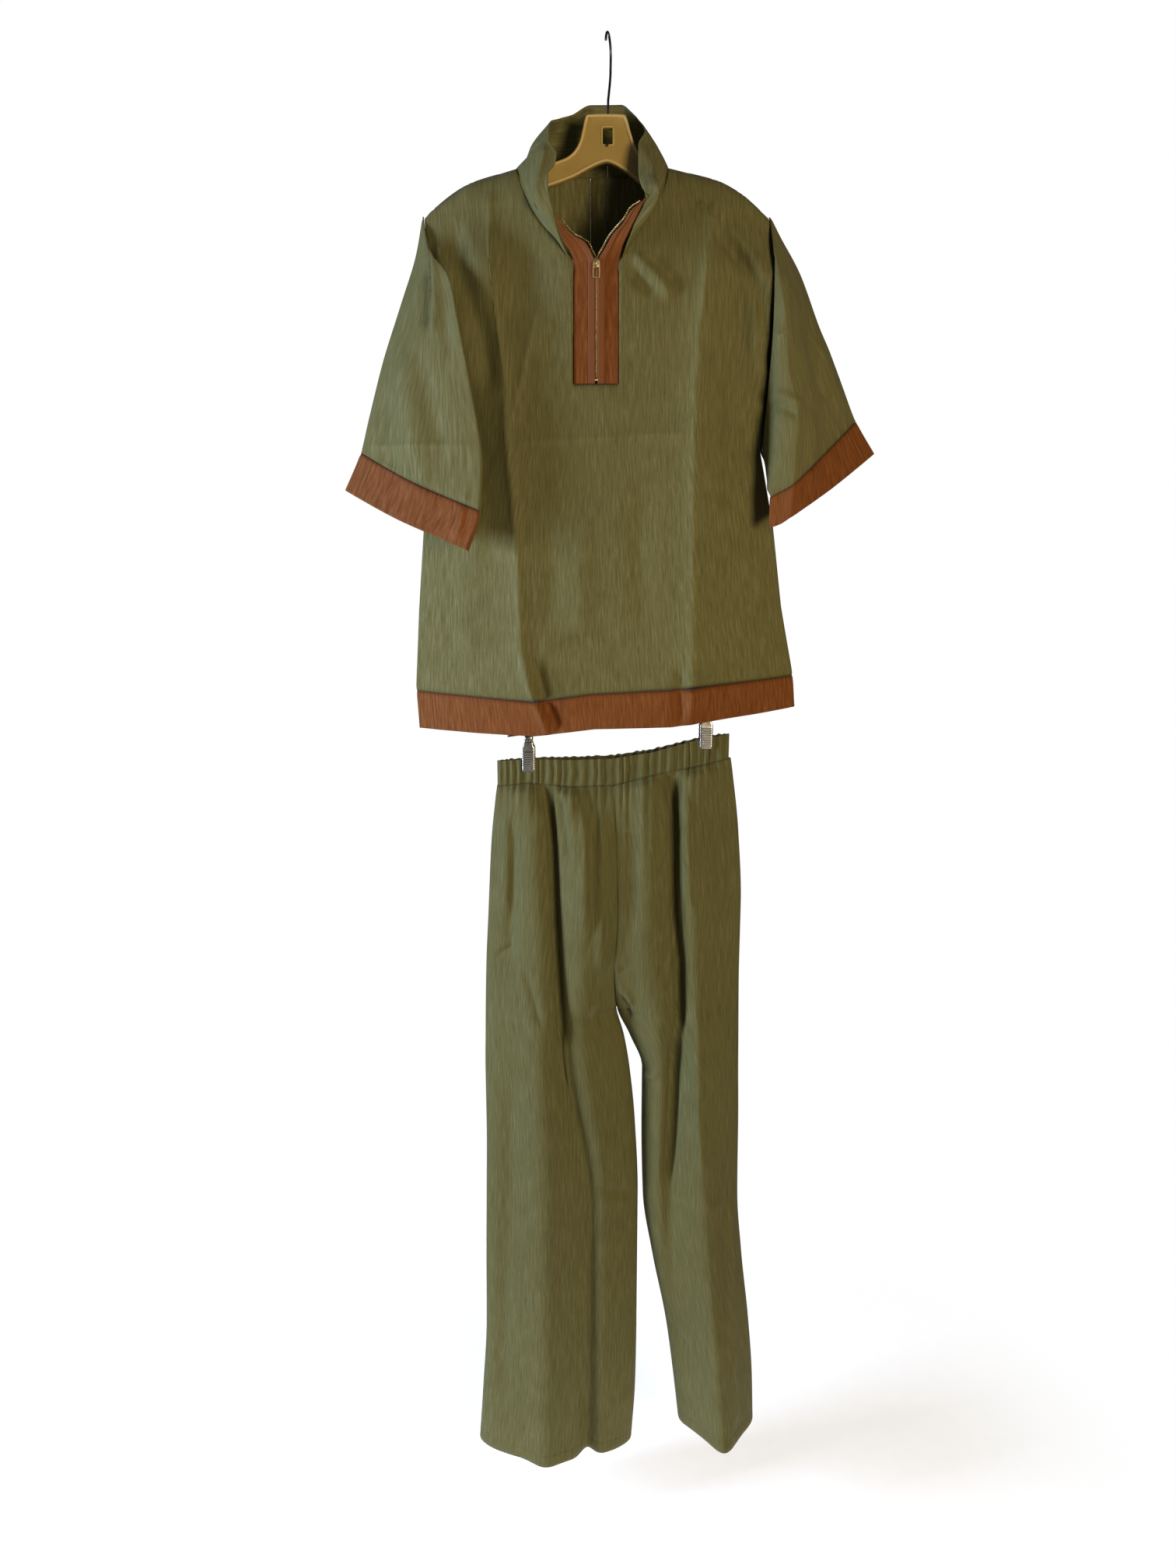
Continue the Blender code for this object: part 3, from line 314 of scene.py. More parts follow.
def add_node(tree: bpy.types.NodeTree, kind: str, settings: dict | None = None,
             inputs: dict | None = None) -> bpy.types.Node:
    """Add one shader node.

    Args:
        tree: the material's node tree.
        kind: the node's type, without its ShaderNode prefix.
        settings: the node's own properties.
        inputs: a number, a colour or another node's output for each named or numbered socket.

    Returns:
        The new node.
    """
    node = tree.nodes.new("ShaderNode" + kind)
    for name, value in (settings or {}).items():
        setattr(node, name, value)
    for name, value in (inputs or {}).items():
        if isinstance(value, bpy.types.NodeSocket):
            tree.links.new(value, node.inputs[name])
        else:
            node.inputs[name].default_value = value
    return node


def blank_material(name: str) -> tuple[bpy.types.Material, bpy.types.NodeTree, bpy.types.Node]:
    """A new material with its tree and its Principled shader."""
    made = bpy.data.materials.new(name)
    made.use_nodes = True
    return made, made.node_tree, made.node_tree.nodes["Principled BSDF"]


def set_ramp(ramp: bpy.types.Node, stops: tuple[tuple[float, str], ...]) -> None:
    """Give a colour ramp its stops, each a place and an sRGB hex colour."""
    elements = ramp.color_ramp.elements
    while len(elements) < len(stops):
        elements.new(0.5)
    for element, (place, colour) in zip(elements, stops):
        element.position = place
        element.color = linear(colour)


def tone(tree: bpy.types.NodeTree, shader: bpy.types.Node, value: bpy.types.NodeSocket,
         stops: tuple[tuple[float, str], ...]) -> None:
    """Colour the shader by a value through a ramp of hex colours."""
    ramp = add_node(tree, "ValToRGB", inputs={"Fac": value})
    set_ramp(ramp, stops)
    tree.links.new(ramp.outputs["Color"], shader.inputs["Base Color"])


def bump(tree: bpy.types.NodeTree, shader: bpy.types.Node, height: bpy.types.NodeSocket,
         strength: float, deep_mm: float) -> None:
    """Give the shader a relief from a height."""
    node = add_node(tree, "Bump", inputs={
        "Strength": strength, "Distance": deep_mm * MM, "Height": height})
    tree.links.new(node.outputs[0], shader.inputs["Normal"])


@dataclass(frozen=True)
class CrepeFinish:
    """Crepe: a plain weave of hard-twisted yarn that shrinks into long uneven crinkles.

    The crinkles catch the light as fine lines down the grain, with a slight sheen on their tops.
    """

    name: str
    deep: str
    middle: str
    light: str
    line_mm: float = 2.4        # between crinkles; about 1.5 really, drawn coarser so that it shows
    line_length_mm: float = 26.0
    bump_mm: float = 0.34
    roughness: float = 0.85
    sheen: float = 0.06

    def build(self) -> bpy.types.Material:
        """The crepe's nodes: crinkles on the cloth's own UV, as bump and also as painted light and shade
        in the tone, and a soft mottle on Object.
        """
        made, tree, shader = blank_material(self.name)
        grain = add_node(tree, "UVMap", {"uv_map": "grain"})
        lines = 1000.0 / self.line_mm
        stretch = self.line_mm / self.line_length_mm
        long_grain = add_node(tree, "Mapping", inputs={
            "Vector": grain.outputs[0], "Scale": (lines, lines * stretch, 1.0)})
        crinkles = add_node(tree, "TexNoise", {"noise_dimensions": "2D"}, {
            "Vector": long_grain.outputs[0], "Scale": 1.0, "Detail": 3.0, "Roughness": 0.62,
            "Distortion": 0.35})
        wide_grain = add_node(tree, "Mapping", inputs={
            "Vector": grain.outputs[0], "Scale": (lines / 3.6, lines * stretch / 1.6, 1.0)})
        ripples = add_node(tree, "TexNoise", {"noise_dimensions": "2D"}, {
            "Vector": wide_grain.outputs[0], "Scale": 1.0, "Detail": 2.0, "Roughness": 0.5})
        height = add_node(tree, "Math", {"operation": "MULTIPLY_ADD"}, {
            0: ripples.outputs["Fac"], 1: 0.5, 2: crinkles.outputs["Fac"]})
        place = add_node(tree, "TexCoord")
        mottle = add_node(tree, "TexNoise", inputs={
            "Vector": place.outputs["Object"], "Scale": 9.0, "Detail": 2.0})
        # The points' painted light and shade: highlights on fold tops and edges, shade along seams and
        # between gathers.
        painted_light = add_node(tree, "Attribute", {"attribute_name": "painted_light"})
        # The crinkles set the tone as well as the bump: painted highlight on their tops, painted shade
        # between them.
        shade = add_node(tree, "Math", {"operation": "MULTIPLY"}, {0: crinkles.outputs["Fac"], 1: 0.8})
        shade = add_node(tree, "Math", {"operation": "MULTIPLY_ADD"}, {
            0: mottle.outputs["Fac"], 1: 0.16, 2: shade.outputs[0]})
        shade = add_node(tree, "Math", {"operation": "MULTIPLY_ADD", "use_clamp": True}, {
            0: painted_light.outputs["Fac"], 1: 0.5, 2: shade.outputs[0]})
        tone(tree, shader, shade.outputs[0],
             ((0.15, self.deep), (0.5, self.middle), (0.9, self.light)))
        rough = add_node(tree, "MapRange", inputs={
            "Value": crinkles.outputs["Fac"], "From Min": 0.3, "From Max": 0.7,
            "To Min": self.roughness + 0.1, "To Max": self.roughness - 0.12})
        tree.links.new(rough.outputs[0], shader.inputs["Roughness"])
        bump(tree, shader, height.outputs[0], 1.0, self.bump_mm)
        shader.inputs["IOR"].default_value = 1.38
        shader.inputs["Sheen Weight"].default_value = self.sheen
        shader.inputs["Sheen Roughness"].default_value = 0.4
        return made


@dataclass(frozen=True)
class RibFinish:
    """Close diagonal ribs in two near tones: a thread's twist, or the twill of zip tape.

    Thread is spun polyester, matt, with a twist too fine to stand out. Tape is a close twill of
    polyester yarn, flat beside the chain, with ribs that do stand out a little.
    """

    name: str
    colour: str
    dark: str
    scale: float = 260.0
    distortion: float = 1.0
    roughness: float = 0.6
    relief_mm: float = 0.0

    def build(self) -> bpy.types.Material:
        """The ribs as tone, and as bump where they have relief."""
        made, tree, shader = blank_material(self.name)
        place = add_node(tree, "TexCoord")
        ribs = add_node(tree, "TexWave", {"bands_direction": "DIAGONAL"}, {
            "Vector": place.outputs["Object"], "Scale": self.scale, "Distortion": self.distortion})
        tone(tree, shader, ribs.outputs["Fac"], ((0.2, self.dark), (0.8, self.colour)))
        if self.relief_mm:
            bump(tree, shader, ribs.outputs["Fac"], 0.6, self.relief_mm)
        shader.inputs["Roughness"].default_value = self.roughness
        return made


@dataclass(frozen=True)
class PlasticFinish:
    """Moulded polystyrene: a satin skin with a faint orange peel, and a painted highlight on the rims'
    front and back faces.
    """

    name: str
    colour: str
    highlight_colour: str

    def build(self) -> bpy.types.Material:
        """Skin mottle and peel on Object, and a painted highlight from the points' painted-light
        attribute.
        """
        made, tree, shader = blank_material(self.name)
        place = add_node(tree, "TexCoord")
        peel = add_node(tree, "TexNoise", inputs={
            "Vector": place.outputs["Object"], "Scale": 420.0, "Detail": 2.0})
        cloud = add_node(tree, "TexNoise", inputs={
            "Vector": place.outputs["Object"], "Scale": 26.0, "Detail": 3.0})
        rim_highlight = add_node(tree, "Attribute", {"attribute_name": "painted_light"})
        shade = add_node(tree, "Math", {"operation": "MULTIPLY_ADD", "use_clamp": True}, {
            0: cloud.outputs["Fac"], 1: 0.5, 2: rim_highlight.outputs["Fac"]})
        tone(tree, shader, shade.outputs[0], ((0.15, self.colour), (0.95, self.highlight_colour)))
        bump(tree, shader, peel.outputs["Fac"], 0.25, 0.2)
        shader.inputs["IOR"].default_value = 1.55
        shader.inputs["Roughness"].default_value = 0.38
        return made


@dataclass(frozen=True)
class MetalFinish:
    """Drawn or plated metal: fine draw lines and a slight unevenness of the gloss."""

    name: str
    colour: str
    dull: str
    roughness: float

    def build(self) -> bpy.types.Material:
        """Tone and gloss varied by a fine noise on Object."""
        made, tree, shader = blank_material(self.name)
        place = add_node(tree, "TexCoord")
        cloud = add_node(tree, "TexNoise", inputs={
            "Vector": place.outputs["Object"], "Scale": 160.0, "Detail": 4.0})
        tone(tree, shader, cloud.outputs["Fac"], ((0.3, self.dull), (0.7, self.colour)))
        rough = add_node(tree, "MapRange", inputs={
            "Value": cloud.outputs["Fac"], "To Min": self.roughness - 0.08,
            "To Max": self.roughness + 0.12})
        tree.links.new(rough.outputs[0], shader.inputs["Roughness"])
        shader.inputs["Metallic"].default_value = 1.0
        return made


class Finishes:
    """All the finishes of the set, each built once."""

    def __init__(self) -> None:
        """Build every material."""
        # Olive polyester crepe, piece-dyed: crinkled, dull, with pale lines of painted highlight on the
        # crinkles' tops.
        self.olive = CrepeFinish("olive_crepe", "#534e29", "#6a663a", "#848054").build()
        # The same crepe in a finer crinkle: the trousers look smoother and a little darker.
        self.olive_leg = CrepeFinish("olive_trouser_crepe", "#504d29", "#625f35", "#78754a",
                                     line_mm=2.0, line_length_mm=34.0, bump_mm=0.2).build()
        # Rust crepe for the cuffs, hem band and placket.
        self.rust = CrepeFinish("rust_crepe", "#5c2e0c", "#7a4514", "#955f2a",
                                line_mm=2.4, bump_mm=0.35).build()
        # Tone-on-tone threads.
        self.olive_thread = RibFinish("olive_thread", "#787044", "#565030").build()
        self.rust_thread = RibFinish("rust_thread", "#8c5028", "#5e3212").build()
        # Zip tape in orange-brown polyester.
        self.tape = RibFinish("zip_tape", "#8a4f20", "#653714", 220.0, 0.6, 0.8, 0.2).build()
        # Tan polystyrene.
        self.plastic = PlasticFinish("tan_polystyrene", "#ab8e45", "#dcc07a").build()
        # Drawn steel wire, dark from its oil finish.
        self.steel = MetalFinish("dark_drawn_steel", "#5f6467", "#3e4143", 0.35).build()
        # Nickel plate on pressed steel.
        self.nickel = MetalFinish("nickel_plate", "#c4c2bc", "#b4b2ac", 0.3).build()
        # Gilt brass teeth and slider.
        self.gilt = MetalFinish("gilt_brass", "#f0d9a4", "#c7a664", 0.3).build()


@dataclass
class Grid:
    """A grid of points in millimetres that becomes one surface.

    ring says that the last column meets the first. outward is the sign that turns the grid's own
    normal to the outside, and keep says which cells are filled.
    """

    points: np.ndarray
    ring: bool = False
    outward: float = 1.0
    keep: np.ndarray | None = None
    # Painted light and shade for each point, which the crepe adds to its tone.
    painted_light: np.ndarray | None = None

    def grain(self) -> tuple[np.ndarray, np.ndarray]:
        """Running millimetres across and down: even columns of the mean width, true length down."""
        rows, columns = self.points.shape[:2]
        width = float(path_length(self.points, 1)[:, -1].mean())
        across = np.broadcast_to(np.linspace(0.0, width, columns)[None, :], (rows, columns))
        down = path_length(self.points, 0)
        return across, np.broadcast_to(down.mean(axis=1)[:, None], (rows, columns))

    def normals(self) -> np.ndarray:
        """Unit normals that point outwards."""
        return normals_of(self.points, self.ring) * self.outward

    def raised(self, height: np.ndarray) -> "Grid":
        """The same grid moved out along its normals by a height at each point."""
        return Grid(self.points + self.normals() * height[..., None], self.ring, self.outward,
                    self.keep, self.painted_light)

    def edge_gap(self, top: bool, bottom: bool, sides: bool) -> np.ndarray:
        """Millimetres from each point to the nearest of the named edges."""
        down, across = path_length(self.points, 0), path_length(self.points, 1)
        gap = np.full(self.points.shape[:2], 1e6)
        if top:
            gap = np.minimum(gap, down)
        if bottom:
            gap = np.minimum(gap, down[-1:] - down)
        if sides:
            gap = np.minimum(gap, np.minimum(across, across[:, -1:] - across))
        return gap

    def line(self, row: float) -> tuple[np.ndarray, np.ndarray]:
        """Points and outward normals along a row, which may lie between two rows."""
        low = int(np.clip(math.floor(row), 0, len(self.points) - 2))
        part, normals = row - low, self.normals()
        points = lerp(self.points[low], self.points[low + 1], part)
        normal = lerp(normals[low], normals[low + 1], part)
        if self.ring:
            points = np.concatenate([points, points[:1]])
            normal = np.concatenate([normal, normal[:1]])
        return points, normal

    def area(self) -> float:
        """Area of the surface in square metres."""
        return grid_area(self.points, self.ring)


def cell_faces(rows: int, columns: int, ring: bool, keep: np.ndarray | None,
               turned: bool) -> np.ndarray:
    """Corner numbers of each cell of a grid, wound one way or the other."""
    spans = columns if ring else columns - 1
    r, c = np.meshgrid(np.arange(rows - 1), np.arange(spans), indexing="ij")
    if keep is not None:
        r, c = r[keep], c[keep]
    r, c = r.ravel(), c.ravel()
    ahead = (c + 1) % columns
    faces = np.stack([r * columns + c, r * columns + ahead, (r + 1) * columns + ahead,
                      (r + 1) * columns + c], axis=1)
    return faces[:, ::-1] if turned else faces


def put_mesh(name: str, points: np.ndarray, faces: np.ndarray | list, finish: bpy.types.Material,
             values: dict[str, np.ndarray] | None = None,
             uv: np.ndarray | None = None) -> bpy.types.Object:
    """Put points and faces into a new object at the origin.

    Args:
        name: the piece's name.
        points: shape (n, 3), in millimetres.
        faces: corner numbers.
        finish: its material.
        values: named numbers, one for each point.
        uv: two numbers for each point, in metres of cloth.

    Returns:
        The object, smooth shaded, linked to the scene.
    """
    mesh = bpy.data.meshes.new(name)
    mesh.from_pydata((np.asarray(points).reshape(-1, 3) * MM).tolist(), [],
                     faces.tolist() if isinstance(faces, np.ndarray) else faces)
    corners = np.empty(len(mesh.loops), dtype=np.int32)
    mesh.loops.foreach_get("vertex_index", corners)
    if uv is not None:
        layer = mesh.uv_layers.new(name="grain")
        layer.data.foreach_set("uv", uv[corners].astype(np.float32).ravel())
    for key, numbers in (values or {}).items():
        layer = mesh.attributes.new(key, "FLOAT", "POINT")
        layer.data.foreach_set("value", numbers.astype(np.float32).ravel())
    mesh.shade_smooth()
    mesh.materials.append(finish)
    made = bpy.data.objects.new(name, mesh)
    bpy.context.scene.collection.objects.link(made)
    return made


def drop_loose(piece: bpy.types.Object) -> None:
    """Remove the points that no face uses, such as those inside a cut-out window."""
    mesh = piece.data
    used = np.zeros(len(mesh.vertices), bool)
    corners = np.empty(len(mesh.loops), dtype=np.int32)
    mesh.loops.foreach_get("vertex_index", corners)
    used[corners] = True
    if used.all():
        return
    shape = bmesh.new()
    shape.from_mesh(mesh)
    shape.verts.ensure_lookup_table()
    bmesh.ops.delete(shape, geom=[shape.verts[i] for i in np.flatnonzero(~used)], context="VERTS")
    shape.to_mesh(mesh)
    shape.free()


def fix_to_set(piece: bpy.types.Object, nodes: tuple[str, ...] = (),
               body: str = BODY) -> bpy.types.Object:
    """Ride a piece on its body and hide the solids that it stands for."""
    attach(piece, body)
    if nodes:
        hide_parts(*nodes)
    LOG.info("%s: %d faces", piece.name, len(piece.data.polygons))
    return piece


def cloth_piece(name: str, grid: Grid, finish: bpy.types.Material,
                nodes: tuple[str, ...], wall: float = WALL) -> bpy.types.Object:
    """A cloth piece: the grid as an open surface, and Solidify for its wall.

    Args:
        name: the piece's name.
        grid: its surface in the middle of the wall.
        finish: its crepe.
        nodes: the solids that it stands for.
        wall: thickness in millimetres.

    Returns:
        The finished object.
    """
    rows, columns = grid.points.shape[:2]
    across, down = grid.grain()
    uv = np.stack([across, down], axis=-1).reshape(-1, 2) * MM
    # Painted light and shade; none where the grid gives none.
    painted_light = grid.painted_light if grid.painted_light is not None else np.zeros((rows, columns))
    faces = cell_faces(rows, columns, grid.ring, grid.keep, grid.outward < 0)
    piece = put_mesh(name, grid.points, faces, finish, {"painted_light": painted_light.ravel()}, uv)
    drop_loose(piece)
    thicken = piece.modifiers.new("Wall", "SOLIDIFY")
    thicken.thickness = wall * MM
    thicken.offset = 0.0
    return fix_to_set(piece, nodes)


def stitches(name: str, lines: list[tuple[np.ndarray, np.ndarray]], finish: bpy.types.Material,
             long_mm: float = 2.7, pitch_mm: float = 3.5,
             thick_mm: float = 0.62) -> bpy.types.Object:
    """Rows of sewn stitches: each a small spindle that lies along its line on the cloth.

    Args:
        name: the piece's name.
        lines: for each row of stitches, its points and the outward normals there.
        finish: the thread.
        long_mm: one stitch's length.
        pitch_mm: from one stitch to the next.
        thick_mm: thread thickness.

    Returns:
        One joined object: every stitch is the same closed spindle, carried to its own frame.
    """
    rings, sides = 3, 6
    ahead = np.linspace(-1.0, 1.0, rings + 2)
    thick = np.sqrt(np.clip(1.0 - ahead ** 2, 0.0, 1.0))
    turn = np.arange(sides) * 2.0 * math.pi / sides
    centres, tangents, outs = [], [], []
    for points, normals in lines:
        length = path_length(points, 0)
        places = np.arange(pitch_mm / 2, length[-1], pitch_mm)
        centre, tangent = stations(points, places)
        centres.append(centre)
        tangents.append(tangent)
        outs.append(np.stack([np.interp(places, length, normals[:, i]) for i in range(3)], axis=-1))
    centre, tangent, out = (np.concatenate(parts) for parts in (centres, tangents, outs))
    out /= np.linalg.norm(out, axis=1, keepdims=True) + 1e-9
    side = np.cross(tangent, out)
    lift = (WALL / 2.0 + 0.12 * thick_mm) * out
    spine = ahead[1:-1, None, None]
    radius = thick[1:-1, None, None] * thick_mm / 2.0
    body = (centre + lift)[None, None] + spine[..., None] * (long_mm / 2.0) * tangent[None, None]
    body = (body + (radius * np.cos(turn)[None, :, None])[..., None] * side[None, None]
            + (radius * np.sin(turn)[None, :, None])[..., None] * out[None, None])
    body = body.transpose(2, 0, 1, 3).reshape(len(centre), -1, 3)
    tips = np.stack([centre + lift - tangent * long_mm / 2, centre + lift + tangent * long_mm / 2],
                    axis=1)
    points = np.concatenate([body, tips], axis=1)
    quads = cell_faces(rings, sides, True, None, False).tolist()
    tip, last = rings * sides, (rings - 1) * sides
    caps = [((c + 1) % sides, c, tip) for c in range(sides)]
    caps += [(last + c, last + (c + 1) % sides, tip + 1) for c in range(sides)]
    piece = put_mesh(name, points, repeated(quads + caps, tip + 2, len(centre)), finish)
    close_outwards(piece)
    return fix_to_set(piece)


def tube(name: str, path: np.ndarray, diameter: float, finish: bpy.types.Material,
         nodes: tuple[str, ...] = (), closed: bool = False, body: str = BODY,
         sides: int = 16, flat_to: float = 1.0) -> bpy.types.Object:
    """A wire: a round section carried along a smooth path, with closed ends.

    Args:
        name: the piece's name.
        path: the wire's own line.
        diameter: in millimetres.
        finish: its metal.
        nodes: the solids that it stands for.
        closed: whether the path is a loop.
        body: what it moves with.
        sides: faces round the section.
        flat_to: the section's height as a share of its width.

    Returns:
        The wire: at each point of the path, a circle across the path's direction.
    """
    path = np.asarray(path, float)
    if closed:
        tangent = np.roll(path, -1, axis=0) - np.roll(path, 1, axis=0)
    else:
        tangent = np.gradient(path, axis=0)
    tangent /= np.linalg.norm(tangent, axis=1, keepdims=True)
    guide = np.array([1.0, 0.0, 0.0]) if abs(tangent[:, 0]).max() < 0.9 else np.array([0.0, 1.0, 0.0])
    side = guide - (tangent @ guide)[:, None] * tangent
    side /= np.linalg.norm(side, axis=1, keepdims=True)
    up = np.cross(tangent, side)
    turn = np.arange(sides) * 2.0 * math.pi / sides
    radius = diameter / 2.0
    points = (path[:, None] + radius * np.cos(turn)[None, :, None] * side[:, None]
              + radius * flat_to * np.sin(turn)[None, :, None] * up[:, None])
    rows = len(path)
    if closed:
        faces = (cell_faces(rows + 1, sides, True, None, False) % (rows * sides)).tolist()
    else:
        faces = cell_faces(rows, sides, True, None, False).tolist()
        faces += [list(range(sides))[::-1], list(range((rows - 1) * sides, rows * sides))]
    piece = put_mesh(name, points, faces, finish)
    close_outwards(piece)
    return fix_to_set(piece, nodes, body)


def close_outwards(piece: bpy.types.Object) -> None:
    """Turn every face of a closed shell outwards."""
    shape = bmesh.new()
    shape.from_mesh(piece.data)
    bmesh.ops.recalc_face_normals(shape, faces=shape.faces)
    shape.to_mesh(piece.data)
    shape.free()


def rounded_block(name: str, centre: tuple[float, float, float], size: tuple[float, float, float],
                  finish: bpy.types.Material, nodes: tuple[str, ...] = (),
                  square: float = 4.0, body: str = BODY) -> bpy.types.Object:
    """A block with rounded edges: a superellipsoid, squarer as its power rises.

    Args:
        name: the piece's name.
        centre: its middle, in millimetres.
        size: full size along X, Y and Z.
        finish: its finish.
        nodes: the solids that it stands for.
        square: the power; 2 is an ellipsoid.
        body: what it moves with.

    Returns:
        The closed block.
    """
    points, faces = block_surface(24, 16, square)
    piece = put_mesh(name, np.asarray(centre) + points * np.asarray(size) / 2.0, faces, finish)
    close_outwards(piece)
    return fix_to_set(piece, nodes, body)


def block_surface(around: int, up: int, square: float) -> tuple[np.ndarray, list]:
    """Points and faces of a unit superellipsoid, its poles closed with triangles."""
    def bend(value: np.ndarray) -> np.ndarray:
        """Squarer as the block's power rises."""
        return signed_power(value, 2.0 / square)

    turn = np.arange(around) * 2.0 * math.pi / around
    rise = np.linspace(-math.pi / 2, math.pi / 2, up + 1)[1:-1]
    ring = np.stack([bend(np.cos(rise))[:, None] * bend(np.cos(turn))[None, :],
                     bend(np.cos(rise))[:, None] * bend(np.sin(turn))[None, :],
                     np.broadcast_to(bend(np.sin(rise))[:, None], (up - 1, around))], axis=-1)
    points = np.concatenate([ring.reshape(-1, 3), [[0, 0, -1.0], [0, 0, 1.0]]])
    low, high, last = len(points) - 2, len(points) - 1, (up - 2) * around
    faces = cell_faces(up - 1, around, True, None, False).tolist()
    faces += [[(c + 1) % around, c, low] for c in range(around)]
    faces += [[last + c, last + (c + 1) % around, high] for c in range(around)]
    return points, faces


TOP_COLUMNS = ("z", "side_r", "side_r_y", "crease_r", "crease_r_y", "mid_y",
               "crease_l", "crease_l_y", "valley", "valley_y", "side_l", "side_l_y")


@dataclass(frozen=True)
class TopShape:
    """The top's body as a surface: depth at any x and z, front and back, as in the solids.

    front has a row for each height: the side or armhole on each side, the pressed creases, the
    middle and a soft valley. back gives y at the side, the blades and the middle.
    """

    front: tuple = (
        (-190, -213, -6.0, -137, -28, -44, 118, -28, 152, -22, 187, -6.0),
        (-260, -206, -32.0, -134, -38, -55, 109, -39, 148, -32, 189, -36.0),
        (-330, -203, -33.0, -126, -43, -57, 102, -44, 144, -36, 188, -42.0),
        (-400, -202, -15.0, -116, -46, -57, 100, -47, 141, -38, 186, -18.0),
        (-455, -203, -0.9, -114, -48, -56, 99, -49, 140, -36, 185, -0.9),
        (-540, -224, -0.9, -107, -50, -57, 100, -51, 150, -33, 203, -0.9),
        (-640, -233, -0.9, -103, -51, -58, 101, -52, 158, -31, 217, -0.9),
        (-740, -240, -0.9, -100, -52, -58, 102, -53, 168, -31, 238, -0.9),
        (-795, -238, -0.9, -76, -54, -58, 105, -53, 170, -31, 239, -0.9))
    back: tuple = (
        (-190, 6.0, 30, 44), (-260, 30.0, 37, 46), (-330, 34.0, 40, 44), (-400, 15.0, 41, 44),
        (-455, 0.9, 42, 45), (-540, 0.9, 42, 45), (-640, 0.9, 43, 46), (-740, 0.9, 44, 47),
        (-795, 0.9, 44, 47))
    shoulder: Path = ((-213, -192), (-206, -185), (-160, -155), (-107, -140), (70, -139),
                      (127, -152), (155, -166), (187, -192))
    neck_right: Path = ((-41, -247), (-57, -228), (-81, -200), (-98, -166), (-107, -140))
    neck_left: Path = ((70, -139), (66, -160), (53, -185), (28, -224), (13.5, -247))
    hem: tuple = ((-240, -746, -793), (-167, -749, -795), (-90, -753, -796), (-15, -743, -786),
                  (79, -738, -784), (148, -733, -776), (239, -726, -766))
    back_neck_z: float = -138.0
    back_seam_x: float = -20.0
    back_neck_half: float = 88.0
    back_neck_mid: float = -19.0
    back_rise_mm: float = 42.0
    ridge_round: float = 9.0
    placket_x: tuple[float, float] = (-40.0, 12.5)
    placket_bottom: float = -383.0
    placket_top: float = -247.0

    def row(self, z: np.ndarray) -> dict[str, np.ndarray]:
        """The front's section table at a height, by column name."""
        table = np.asarray(self.front, float)
        return {name: np.interp(-np.asarray(z, float), -table[:, 0], table[:, i])
                for i, name in enumerate(TOP_COLUMNS)}

    def shoulder_z(self, x: np.ndarray) -> np.ndarray:
        """Height of the shoulders' ridge."""
        ridge = np.asarray(self.shoulder, float)
        return np.interp(x, ridge[:, 0], ridge[:, 1])

    def away_from_ridge(self, y: np.ndarray, at_ridge: float, below: np.ndarray) -> np.ndarray:
        """Run the depth out to the ridge: quickly over the hanger, then slowly below it."""
        below = np.maximum(below, 0.0)
        out = y - at_ridge
        quick = np.minimum(self.ridge_round, np.abs(out)) * np.sign(out)
        return at_ridge + quick * (1.0 - np.exp(-below / 4.0)) + (out - quick) * (
            1.0 - np.exp(-below / 24.0))

    def front_y(self, x: np.ndarray, z: np.ndarray) -> np.ndarray:
        """Depth of the front: three facets between two pressed creases and a soft valley."""
        def facet(x0: np.ndarray, y0: np.ndarray, x1: np.ndarray, y1: np.ndarray,
                  bulge: float) -> np.ndarray:
            """Straight from line to line, with a shallow outward bow."""
            part = np.clip((x - x0) / (x1 - x0), 0.0, 1.0)
            return lerp(y0, y1, part) - bulge * 4.0 * part * (1.0 - part)

        row = self.row(z)
        mid = 0.5 * (row["crease_r"] + row["crease_l"])
        lines = ((row["side_r"], row["side_r_y"]), (row["crease_r"], row["crease_r_y"]),
                 (mid, row["mid_y"]), (row["crease_l"], row["crease_l_y"]),
                 (row["valley"], row["valley_y"]), (row["side_l"], row["side_l_y"]))
        bows = (5.0, 1.5, 1.5, 0.0, 3.0)
        y = facet(*lines[4], *lines[5], bows[4])
        for i in (3, 2, 1, 0):
            y = np.where(x < lines[i + 1][0], facet(*lines[i], *lines[i + 1], bows[i]), y)
        return self.away_from_ridge(y, -EDGE_Y, self.shoulder_z(x) - z)

    def back_y(self, x: np.ndarray, z: np.ndarray) -> np.ndarray:
        """Depth of the back: a shallow bow, widest at the blades, that stands up at the neck."""
        row = self.row(z)
        table = np.asarray(self.back, float)
        side, blade, mid = (np.interp(-np.asarray(z, float), -table[:, 0], table[:, i])
                            for i in (1, 2, 3))
        half = 0.5 * (row["side_l"] - row["side_r"])
        out = np.clip(np.abs(x - 0.5 * (row["side_l"] + row["side_r"])) / half, 0.0, 1.0)
        y = np.where(out < 0.5, lerp(mid, blade, (out / 0.5) ** 2),
                     lerp(blade, side, (np.maximum(out - 0.5, 0.0) / 0.5) ** 1.7))
        reach = np.clip(1.0 - ((x - self.back_neck_mid) / self.back_neck_half) ** 2, 0.0, 1.0)
        rise = self.back_rise_mm * np.sqrt(reach)
        return self.away_from_ridge(y, EDGE_Y, self.shoulder_z(x) + rise - z)

    def hem_z(self, x: np.ndarray, column: int) -> np.ndarray:
        """Height of the hem band's upper (1) or lower (2) edge."""
        table = np.asarray(self.hem, float)
        return np.interp(x, table[:, 0], table[:, column])

